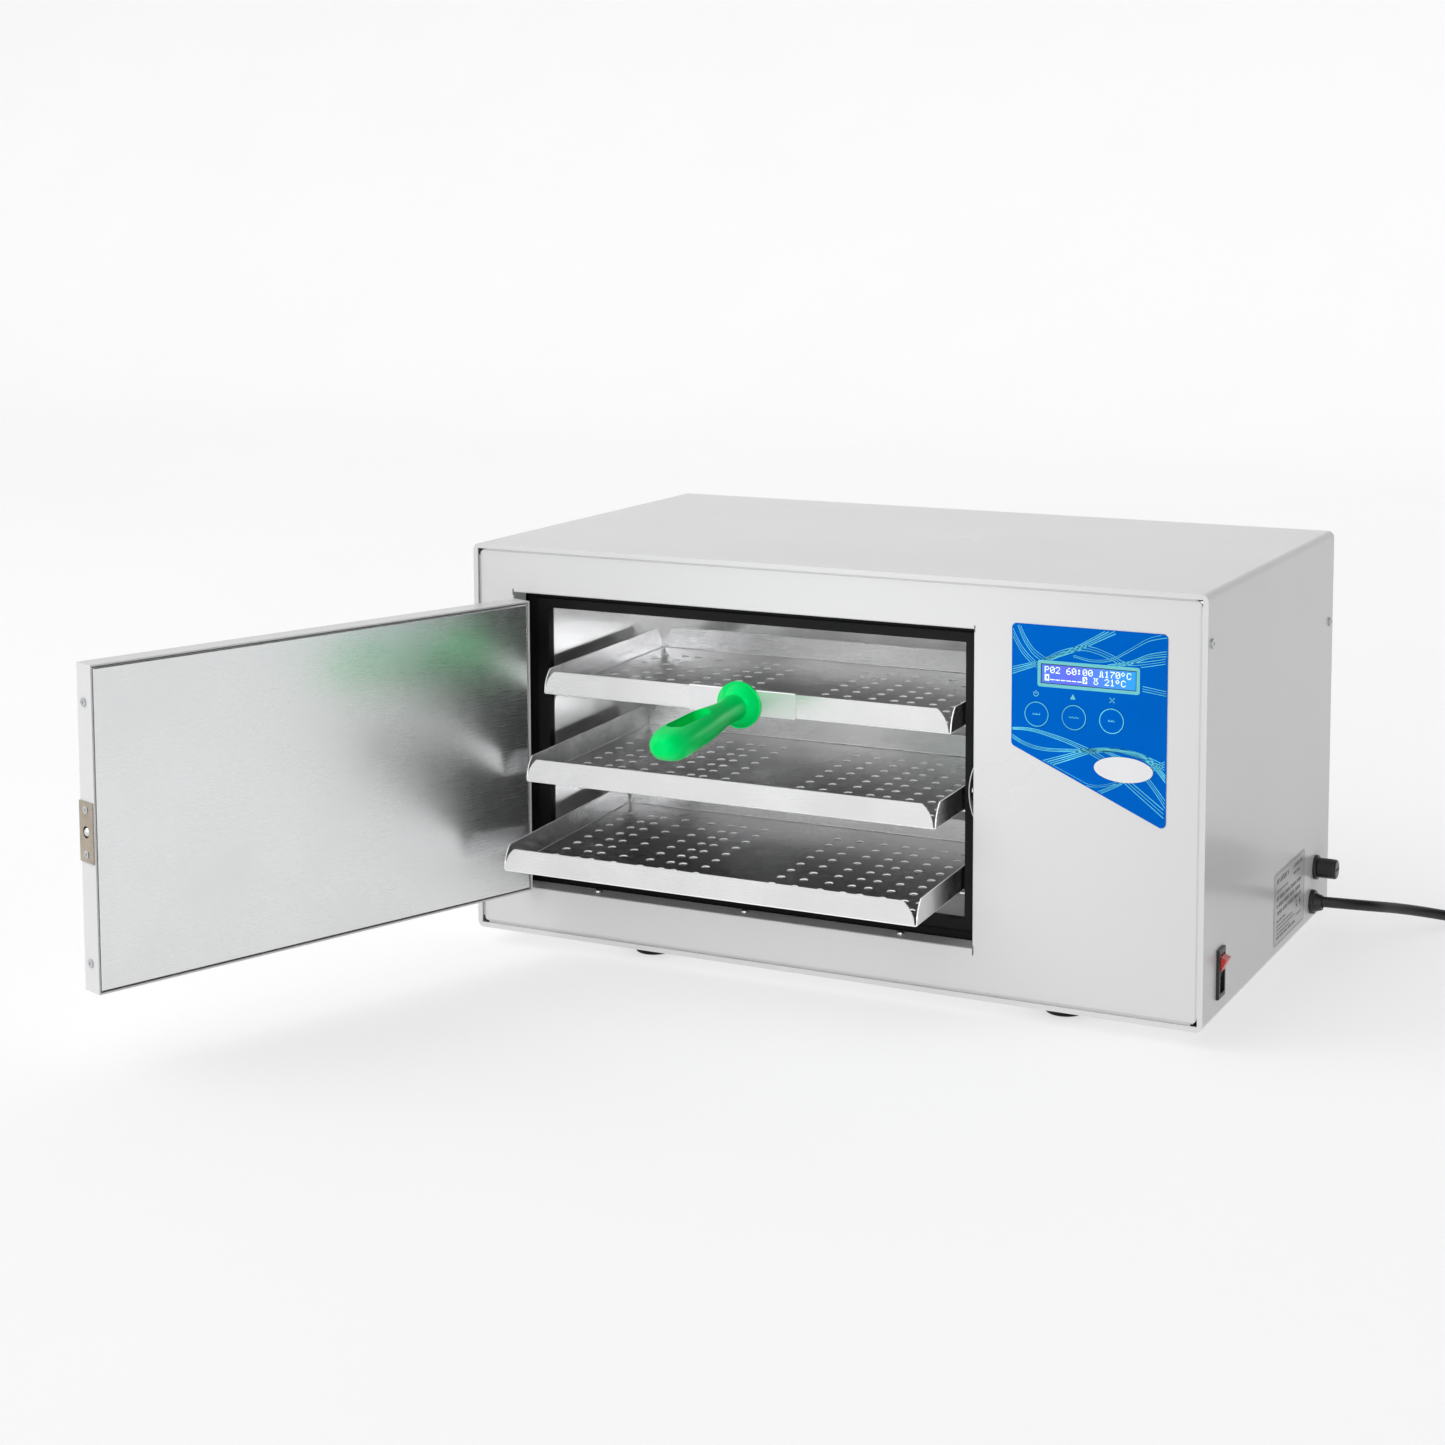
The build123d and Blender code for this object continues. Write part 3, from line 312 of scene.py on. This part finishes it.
finish = {
    "painted_steel": white_paint, "steel_zinc": zinc, "rubber_black": black_rubber,
    "black_enamel": black_enamel, "nickel": nickel, "stainless": stainless_flat,
    "mineral_wool": mineral_wool, "heater_sheath": sheath, "circuit_board": circuit_green,
    "black_plastic": black_plastic, "overlay_print": film_blue, "clear_window": display_face,
    "key_blue": film_blue, "badge_white": badge_white, "label_film": label_silver,
    "fuse_glass": label_silver, "steel_bright": bright_steel, "grip_green": green_plastic,
    "cord_black": cord_black, "brass_nickel": brass_pins,
}
for entry in frame["record"]["subparts"]:
    piece = nodes[entry["node"]]
    piece.data.materials.clear()
    piece.data.materials.append(finish.get(entry["material_slot"], white_paint))
nodes["door_liner"].data.materials[0] = stainless_door
nodes["rocker"].data.materials[0] = rocker_red
nodes["lifter_clip"].data.materials[0] = stainless_clip
nodes["jamb_rivets"].data.materials[0] = zinc
for name in ("chamber", "guide_left", "guide_right", "probe_bracket"):
    nodes[name].data.materials[0] = stainless_room


sheet_gauge = 0.0011
floor_height = 0.002
hole_facet = 0.003
tray_leans = {"tray_top": 1.15, "tray_middle": 1.8, "tray_bottom": 2.7}


def paint_edge_highlight_and_floor_shade(piece, lean):
    """Paints a folded sheet's cut edges, bends and hole walls with a white painted highlight, and its floor
    with a darker steel as painted shade.
    """
    mesh = piece.data
    # The two added materials paint a highlight on the edges and hole walls, and shade on the floor
    mesh.materials.append(painted_edge_highlight)
    mesh.materials.append(painted_floor_shade)
    highlight_index, shade_index = 1, 2
    rise = math.tan(lean)
    upright = Vector((0, -math.sin(lean), math.cos(lean)))
    front = min(v.co.y for v in mesh.vertices)
    floor = min(v.co.z - (v.co.y - front) * rise for v in mesh.vertices)
    for polygon in mesh.polygons:
        normal = polygon.normal
        height = polygon.center.z - (polygon.center.y - front) * rise - floor
        corners = [mesh.vertices[i].co for i in polygon.vertices]
        longest = max((a - b).length for a, b in zip(corners, corners[1:] + corners[:1]))
        thin = longest > 0 and 2 * polygon.area / longest < sheet_gauge
        slanted = max(abs(normal.x), abs(normal.y)) < 0.97
        if abs(normal.dot(upright)) > 0.9995 and height < floor_height:
            polygon.material_index = shade_index
        elif abs(normal.z) < 0.3 and height < floor_height and longest < hole_facet:
            polygon.material_index = highlight_index
        elif thin and slanted and (abs(normal.z) < 0.9 or height > 0.01):
            polygon.material_index = highlight_index


for name, lean in tray_leans.items():
    paint_edge_highlight_and_floor_shade(nodes[name], math.radians(lean))

# ---------------------------------------------------------------- printing
print_gap = 0.02
film_x, film_right, film_top = 134.0, 234.0, 254.8
film_left_z, film_right_z = 178.0, 133.5
film_front = panel_y - 0.4
key_front = panel_y - 0.55
window_front = panel_y - 0.3
frame_width = 2.1
full_turn = 2 * math.pi


def flat_piece(name, polygons, place, material, body):
    """Printed shapes: flat polygons laid just in front of a surface."""
    mesh = bpy.data.meshes.new(name)
    verts = []
    faces = []
    for polygon in polygons:
        faces.append(tuple(range(len(verts), len(verts) + len(polygon))))
        verts += [place(a, b) for a, b in polygon]
    mesh.from_pydata(verts, [], faces)
    mesh.materials.append(material)
    made = bpy.data.objects.new(name, mesh)
    bpy.context.scene.collection.objects.link(made)
    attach(made, body)
    return made


def box_2d(x0, x1, z0, z1):
    return [(x0, z0), (x1, z0), (x1, z1), (x0, z1)]


def rounded(x0, x1, z0, z1, radius, steps=6):
    """A rectangle with round corners, from its lower right corner on."""
    left, right_side, low, high = x0 + radius, x1 - radius, z0 + radius, z1 - radius
    points = []
    for corner, (cx, cz) in enumerate(((right_side, low), (right_side, high), (left, high), (left, low))):
        for step in range(steps + 1):
            angle = math.pi / 2 * (corner - 1 + step / steps)
            points.append((cx + radius * math.cos(angle), cz + radius * math.sin(angle)))
    return points


def circle_2d(x, z, radius, steps=64, start=0.0, sweep=full_turn):
    """A circle, or with a smaller sweep an arc that includes both of its ends."""
    return [
        (x + radius * math.cos(start + sweep * k / steps), z + radius * math.sin(start + sweep * k / steps))
        for k in range(steps + (sweep < full_turn))
    ]


def band(outer, inner, closed=True):
    """The strip between two outlines, as four-sided pieces."""
    count = len(outer)
    last = count if closed else count - 1
    return [
        [outer[k], outer[(k + 1) % count], inner[(k + 1) % count], inner[k]] for k in range(last)
    ]


def printable(x, z):
    """True where the film has room for a wave: clear of its edges and of the display's frame."""
    lower = film_left_z + (film_right_z - film_left_z) * (x - film_x) / (film_right - film_x)
    inside = film_x + 0.5 < x < film_right - 0.5 and lower + 0.8 < z < film_top - 0.5
    margin = frame_width + 0.1
    framed = lcd_left - margin < x < lcd_right + margin and lcd_low - margin < z < lcd_high + margin
    return inside and not framed


def curve_point(points, t):
    """A point at t from 0 to 1 on a smooth curve through the points."""
    place = t * (len(points) - 1)
    k = min(int(place), len(points) - 2)
    f = place - k
    p0 = points[max(k - 1, 0)]
    p1, p2 = points[k], points[k + 1]
    p3 = points[min(k + 2, len(points) - 1)]
    return tuple(
        0.5 * (2 * b + (c - a) * f + (2 * a - 5 * b + 4 * c - d) * f * f + (3 * b - a - 3 * c + d) * f ** 3)
        for a, b, c, d in zip(p0, p1, p2, p3)
    )


# Bundles of thin lines that fan out and cross. Each has the points it runs through, in millimetres from the
# film's left edge and up, its number of lines, the gap between them at its start, middle and end, and the
# width of a line.
wave_bundles = (
    (((0, 224.8), (19, 231.5), (42, 241.7), (67, 255.5)), 4, (1.5, 0.5, 1.8), 0.55),
    (((3.7, 256), (9, 244.5), (18, 235), (40, 226), (82, 220.6), (100, 218.3)), 3, (2.6, 1.6, 1.4), 0.4),
    (((0, 250), (7, 238), (17, 229), (30, 222)), 3, (2.5, 1.8, 1.2), 0.4),
    (
        ((18, 230.7), (31, 238.1), (45, 242), (54, 241.5), (64, 238.2), (76, 234), (100, 238.5)),
        3, (0.8, 1.6, 1.5), 0.4,
    ),
    (((100, 254), (88, 250.7), (76, 243.3), (64, 236.5), (52, 235), (40, 237)), 2, (2.2, 1.2, 1.0), 0.4),
    (((100, 243), (88, 240.5), (76, 235.5), (62, 232.5)), 3, (1.6, 1.0, 0.6), 0.5),
    (
        ((0, 188.1), (12, 188.5), (25, 186.2), (42, 181.6), (60, 174), (76, 161), (100, 143)),
        3, (0.5, 1.2, 2.6), 0.5,
    ),
    (
        ((0, 183.7), (9, 179.3), (22, 176.9), (42, 178), (56, 179.7), (70, 180.6), (85, 178), (100, 172.6)),
        3, (1, 0.7, 1.6), 0.4,
    ),
    (
        ((20, 167), (37, 173.3), (52, 178.7), (67, 180.7), (82, 179), (91, 174.8), (100, 165.3)),
        4, (1.6, 0.6, 1.5), 0.6,
    ),
    (((54, 151.5), (67, 157.9), (82, 167), (100, 175.5)), 3, (1.0, 0.8, 1.6), 0.4),
    (((60, 179.5), (76, 173.8), (88, 164.5), (100, 149.4)), 3, (0.5, 1.2, 2.4), 0.4),
    (((22, 169), (42, 160.5), (52, 157), (64, 158.8), (80, 165)), 2, (1.5, 1.2, 1.0), 0.3),
)
wave_steps = 60
steepest = 2.5


def gap_at(gaps, t):
    """The gap between a bundle's lines at t, from its first value to the middle one and on to the last."""
    first, middle, last = gaps
    if t < 0.5:
        return first + (middle - first) * t * 2
    return middle + (last - middle) * (t * 2 - 1)


def wave_quads(track, half):
    """Short four-sided pieces along a line, each upright at its ends, where the film has room."""
    quads = []
    for (xa, za), (xb, zb) in zip(track, track[1:]):
        if not (printable(xa, za) and printable(xb, zb)):
            continue
        if xb < xa:
            xa, za, xb, zb = xb, zb, xa, za
        slope = math.hypot(xb - xa, zb - za) / max(xb - xa, 1e-6)
        tall = half * min(slope, steepest)
        quads.append([(xa, za - tall), (xb, zb - tall), (xb, zb + tall), (xa, za + tall)])
    return quads


def waves():
    quads = []
    for points, count, gaps, width in wave_bundles:
        for line in range(count):
            rank = line - (count - 1) / 2
            half = width * (0.35 if line % 2 else 0.5)
            track = []
            for step in range(wave_steps + 1):
                t = step / wave_steps
                x, z = curve_point(points, t)
                track.append((film_x + x, z + rank * gap_at(gaps, t)))
            quads += wave_quads(track, half)
    return quads


def on_film(x, z):
    return at(x, film_front - print_gap, z)


flat_piece("film_waves", waves(), on_film, ink_teal, "cabinet")

# The seam around the front panel: painted strips just behind its face, which stop short of the corners
lip_x, lip_low, lip_high = 255.6, 14.4, 277.6
seam_out, seam_in, seam_corner, seam_depth = 0.4, 1.2, 4.6, 0.4
seam_x, seam_low, seam_high = lip_x - seam_corner, lip_low + seam_corner, lip_high - seam_corner
seam_strips = [
    box_2d(-seam_x, seam_x, lip_low - seam_out, lip_low + seam_in),
    box_2d(-seam_x, seam_x, lip_high - seam_in, lip_high + seam_out),
    box_2d(-lip_x - seam_out, -lip_x + seam_in, seam_low, seam_high),
    box_2d(lip_x - seam_in, lip_x + seam_out, seam_low, seam_high),
]


def behind_panel(x, z):
    return at(x, panel_y + seam_depth, z)


flat_piece("panel_seam", seam_strips, behind_panel, white_paint, "cabinet")

# The frame around the display's window
frame_outer = rounded(
    lcd_left - frame_width, lcd_right + frame_width, lcd_low - frame_width, lcd_high + frame_width, 1.6,
)
frame_inner = rounded(lcd_left, lcd_right, lcd_low, lcd_high, 0.05)
flat_piece("film_frame", band(frame_outer, frame_inner), on_film, ink_frame, "cabinet")

# Three small icons above the keys: a power ring with its stroke, a triangle and a cross
icon_z = 211.4
power_x, triangle_x, cross_x = 150.0, 174.0, 199.2
power_start, power_sweep = math.radians(120), math.radians(300)
icons = band(
    circle_2d(power_x, icon_z, 1.75, 40, power_start, power_sweep),
    circle_2d(power_x, icon_z, 1.25, 40, power_start, power_sweep), closed=False,
)
icons.append(box_2d(power_x - 0.25, power_x + 0.25, icon_z, icon_z + 2.1))
icons.append([(triangle_x - 1.8, icon_z - 1.6), (triangle_x + 1.8, icon_z - 1.6), (triangle_x, icon_z + 1.8)])
arm, half_stroke = 1.6, 0.35
for way in (-arm, arm):
    icons.append([
        (cross_x + way - half_stroke, icon_z - arm), (cross_x + way + half_stroke, icon_z - arm),
        (cross_x - way + half_stroke, icon_z + arm), (cross_x - way - half_stroke, icon_z + arm),
    ])
flat_piece("film_icons", icons, on_film, ink_frame, "cabinet")


def on_key(x, z):
    return at(x, key_front - print_gap, z)


# Each key's ring, and in it a row of short strokes where its word would be
keys = (("key_left", 150.5, 7), ("key_middle", 174.8, 9), ("key_right", 199.0, 6))
key_z = 198.5
ring_outer, ring_inner = 7.85, 7.35
stroke_pitch = 0.72
for key_name, key_x, strokes in keys:
    marks = band(circle_2d(key_x, key_z, ring_outer), circle_2d(key_x, key_z, ring_inner))
    for stroke in range(strokes):
        left = key_x + (stroke - strokes / 2) * stroke_pitch
        top = key_z + (0.75 if stroke % 3 == 0 else 0.3)
        marks.append(box_2d(left + 0.1, left + 0.5, key_z - 0.45, top))
    flat_piece(key_name + "_ring", marks, on_key, ink_teal, key_name)

# The display: two lines of sixteen characters, each five dots wide and seven high
dot_rows = {
    "P": (30, 17, 17, 30, 16, 16, 16), "0": (14, 17, 19, 21, 25, 17, 14), "1": (4, 12, 4, 4, 4, 4, 14),
    "2": (14, 17, 1, 2, 4, 8, 31), "6": (6, 8, 16, 30, 17, 17, 14), "7": (31, 1, 2, 4, 8, 8, 8),
    ":": (0, 12, 12, 0, 12, 12, 0), "*": (12, 18, 18, 12, 0, 0, 0), "C": (14, 17, 16, 16, 16, 17, 14),
    "-": (0, 0, 0, 0, 0, 31, 0), "[": (31, 31, 25, 25, 25, 31, 31), "]": (31, 19, 25, 28, 25, 19, 31),
    "^": (4, 10, 10, 10, 10, 10, 27), "v": (27, 10, 10, 10, 17, 17, 14), " ": (0,) * 7,
}
dots = []
dot = 0.585
dot_size = dot * 0.93
character_pitch, line_pitch = 6, 8.4
text_left, text_top = lcd_left + 2.6, lcd_high - 1.6 - dot
for line, text in enumerate(("P02 60:00 ^170*C", "[------] v 21*C ")):
    for column, character in enumerate(text):
        for row, bits in enumerate(dot_rows[character]):
            for bit in range(5):
                if bits >> (4 - bit) & 1:
                    left = text_left + (column * character_pitch + bit) * dot
                    base = text_top - (line * line_pitch + row) * dot
                    dots.append(box_2d(left, left + dot_size, base, base + dot_size))


def on_window(x, z):
    return at(x, window_front - print_gap, z)


flat_piece("display_dots", dots, on_window, display_dots, "cabinet")
# A dark border inside the window: partly the display's printed edge, partly painted shade from the frame,
# wider at its top and left
rim_outer = rounded(lcd_left + 0.1, lcd_right - 0.1, lcd_low + 0.1, lcd_high - 0.1, 0.05)
rim_inner = rounded(lcd_left + 0.6, lcd_right - 0.5, lcd_low + 0.45, lcd_high - 0.6, 0.05)
flat_piece("display_rim_shade", band(rim_outer, rim_inner), on_window, ink_and_shade_dark, "cabinet")


# The data plate: rows of plain strokes where small print would be. Each row has where it starts and ends
# along the plate, the height of its foot and the height of its strokes.
plate_rows = (
    (15, 47, 61.0, 3.6), (58, 82, 62.0, 2.4), (58, 76, 57.5, 1.6), (15, 44, 55.0, 1.4), (15, 82, 49.5, 2.6),
    (15, 78, 44.5, 2.6), (15, 80, 39.5, 2.6), (15, 40, 34.5, 1.5), (15, 56, 31.5, 1.2), (15, 62, 28.8, 1.2),
    (15, 50, 26.1, 1.2), (15, 66, 23.2, 1.8), (66, 72, 33.0, 5.0), (75, 81, 33.0, 5.0), (66, 80, 27.0, 1.4),
)
plate_thick = 0.25


def on_plate(y, z):
    return at(side_x + plate_thick + print_gap, y, z)


plate_marks = band(rounded(10.0, 87.0, 20.0, 68.0, 2.0), rounded(10.3, 86.7, 20.3, 67.7, 1.7))
for row, (row_start, row_end, foot_z, tall) in enumerate(plate_rows):
    glyph_pitch = tall * 0.62
    for glyph in range(int((row_end - row_start) / glyph_pitch)):
        word_gap = (glyph * 7 + row * 5) % 9 == 3
        if word_gap:
            continue
        left = row_start + glyph * glyph_pitch
        middle = left + glyph_pitch * 0.4
        plate_marks.append(box_2d(left, middle, foot_z, foot_z + tall))
        bar = foot_z + tall * ((glyph * 5 + row) % 4) / 4
        plate_marks.append(box_2d(middle, left + glyph_pitch * 0.8, bar, bar + tall * 0.34))
flat_piece("plate_print", plate_marks, on_plate, ink_and_shade_dark, "cabinet")

# The fuse cap's grey end, in two parts beside its screwdriver slot
cap_y, cap_z, cap_radius, cap_reach = 119.0, 48.0, 5.2, 15.52
slot_angle = math.radians(8)
cap_marks = [
    circle_2d(cap_y, cap_z, cap_radius, 30, slot_angle + half_turn, math.pi - 2 * slot_angle)
    for half_turn in (0, math.pi)
]


def on_cap(y, z):
    return at(side_x + cap_reach, y, z)


flat_piece("fuse_cap_face", cap_marks, on_cap, cap_grey, "fuse_cap")

# ---------------------------------------------------------------- mains cord
cord_diameter = 0.0075
route = [
    at(240.0, 109.4, 25.7), at(292.0, 110.5, 27.0), at(314.0, 158.0, 15.0), at(350.0, 190.0, 3.8),
]
coil_x, coil_y = 386.0, 243.0
coil_radii = (48.5, 41.0, 33.5)
coil_layers = (4.55, 12.05)
coil_start = math.radians(-83)
points_per_turn = 14
last_part_turn = 23 / 360
step_over_from = 0.7


def coil_points():
    """Six turns, three side by side in each layer, wound from the outside in and then out again."""
    turns = [(radius, coil_layers[0]) for radius in coil_radii]
    turns += [(radius, coil_layers[1]) for radius in reversed(coil_radii)]
    points = []
    total = len(turns) * points_per_turn + round(points_per_turn * last_part_turn)
    for step in range(total):
        turn = min(step / points_per_turn, len(turns) - 1)
        whole = int(turn)
        blend = max(0.0, (turn - whole - step_over_from) / (1 - step_over_from))
        radius, z = turns[whole]
        if whole + 1 < len(turns):
            radius += (turns[whole + 1][0] - radius) * blend
            z += (turns[whole + 1][1] - z) * blend
        angle = coil_start + full_turn * step / points_per_turn
        points.append(at(coil_x + radius * math.cos(angle), coil_y + radius * math.sin(angle), z))
    return points


# The tail leaves the coil straight, and climbs to the plug's height
tail_turn = math.radians(30)
tail_x = coil_x + coil_radii[0] * math.sin(tail_turn)
tail_y = coil_y - coil_radii[0] * math.cos(tail_turn)


def along_tail(distance, z):
    return at(tail_x + distance * math.cos(tail_turn), tail_y + distance * math.sin(tail_turn), z)


tail_low, plug_z = 12.0, 16.2
tail = [along_tail(0, tail_low), along_tail(14, tail_low)]
tail += [along_tail(distance, plug_z) for distance in (33, 47, 52)]


def nurbs_tube(name, points, diameter, material):
    curve = bpy.data.curves.new(name, "CURVE")
    curve.dimensions = "3D"
    curve.bevel_depth = diameter / 2
    curve.bevel_resolution = 6
    curve.resolution_u = 12
    curve.use_fill_caps = True
    spline = curve.splines.new("NURBS")
    spline.points.add(len(points) - 1)
    for target, point in zip(spline.points, points):
        target.co = (*point, 1)
    spline.order_u = 3
    spline.use_endpoint_u = True
    curve.materials.append(material)
    made = bpy.data.objects.new(name, curve)
    bpy.context.scene.collection.objects.link(made)
    return made


mains = nurbs_tube("mains_cord", route + coil_points() + tail, cord_diameter, cord_black)
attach(mains, "cabinet")
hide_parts("cord", "coil", "cord_tail")

# ---------------------------------------------------------------- stage and light
bpy.context.scene.view_settings.view_transform = "Standard"


glow_height = 2.5


def stage_paper():
    """Pale paper, partly lit from within so that shadows on it stay faint."""
    s = Shader("stage_paper")
    height = s.node("ShaderNodeSeparateXYZ")
    s.link(s.coordinates(), height.inputs["Vector"])
    cloud = s.noise(s.coordinates(), 3.0)
    s.feed(s.ramp(cloud, ((0.3, (0.42,) * 3), (0.7, (0.43,) * 3))), "Base Color")
    climb = s.spread(height.outputs["Z"], 0, 1, 0.0, glow_height)
    glow = s.ramp(climb, ((0.0, (0.585,) * 3), (0.5, (0.485,) * 3), (1.0, (0.43,) * 3)))
    s.feed(glow, "Emission Color")
    s.set(Emission_Strength=1.0, Roughness=0.9, IOR=1.0)
    return s.material


# The paper, in metres: a floor, a bend behind the cabinet, and a wall
paper_reach, paper_wide, paper_sink = 40.0, 40.0, 0.0002
bend_start, bend_radius, bend_steps, wall_top = 3.0, 1.5, 12, 5.0
profile = [(-paper_reach, 0.0), (bend_start, 0.0)]
for step in range(1, bend_steps + 1):
    angle = math.pi / 2 * step / bend_steps
    profile.append((bend_start + bend_radius * math.sin(angle), bend_radius - bend_radius * math.cos(angle)))
profile.append((bend_start + bend_radius, wall_top))
verts = []
for y, z in profile:
    verts += [(-paper_wide, y, z - paper_sink), (paper_wide, y, z - paper_sink)]
faces = [(2 * i, 2 * i + 1, 2 * i + 3, 2 * i + 2) for i in range(len(profile) - 1)]
paper_mesh = bpy.data.meshes.new("backdrop")
paper_mesh.from_pydata(verts, [], faces)
paper_mesh.materials.append(stage_paper())
for polygon in paper_mesh.polygons:
    polygon.use_smooth = True
backdrop = bpy.data.objects.new("backdrop", paper_mesh)
bpy.context.scene.collection.objects.link(backdrop)

# A studio that is bright in front, and dim on the cabinet's right
world = bpy.data.worlds.new("world")
world.use_nodes = True
studio = world.node_tree
direction = studio.nodes.new("ShaderNodeSeparateXYZ")
studio.links.new(studio.nodes.new("ShaderNodeTexCoord").outputs["Generated"], direction.inputs["Vector"])


def studio_math(operation, first, second):
    made = studio.nodes.new("ShaderNodeMath")
    made.operation = operation
    for socket, value in zip(made.inputs, (first, second)):
        if isinstance(value, (int, float)):
            socket.default_value = value
        else:
            studio.links.new(value, socket)
    return made.outputs["Value"]


base_light, front_gain, right_loss, least_light = 0.65, 1.4, 2.5, 0.05
frontal = studio_math("MAXIMUM", studio_math("MULTIPLY", direction.outputs["Y"], -1.0), 0.0)
rightward = studio_math("MAXIMUM", direction.outputs["X"], 0.0)
level_of_light = studio_math("ADD", studio_math("MULTIPLY", frontal, front_gain), base_light)
level_of_light = studio_math("SUBTRACT", level_of_light, studio_math("MULTIPLY", rightward, right_loss))
level_of_light = studio_math("MAXIMUM", level_of_light, least_light)
background = studio.nodes["Background"]
background.inputs["Color"].default_value = (1, 1, 1, 1)
studio.links.new(level_of_light, background.inputs["Strength"])
bpy.context.scene.world = world


def aim_light(name, kind, energy, place, target):
    """A light of one kind at a place, turned towards its target."""
    data = bpy.data.lights.new(name, kind)
    data.energy = energy
    made = bpy.data.objects.new(name, data)
    made.location = place
    made.rotation_euler = (target - place).to_track_quat("-Z", "Y").to_euler()
    bpy.context.scene.collection.objects.link(made)
    return data


# A large soft light from the left, and a narrow beam that reaches into the chamber from the camera's side
key = aim_light("key", "AREA", 22, Vector((-2.0, -0.9, 2.2)), Vector((0.1, 0.0, 0.1)))
key.shape = "SQUARE"
key.size = 2.2

beam = aim_light("beam", "SPOT", 30, at(760, -1500, 520), at(-60, -60, 150))
beam.shadow_soft_size = 0.12
beam.spot_size = math.radians(15)
beam.spot_blend = 0.7
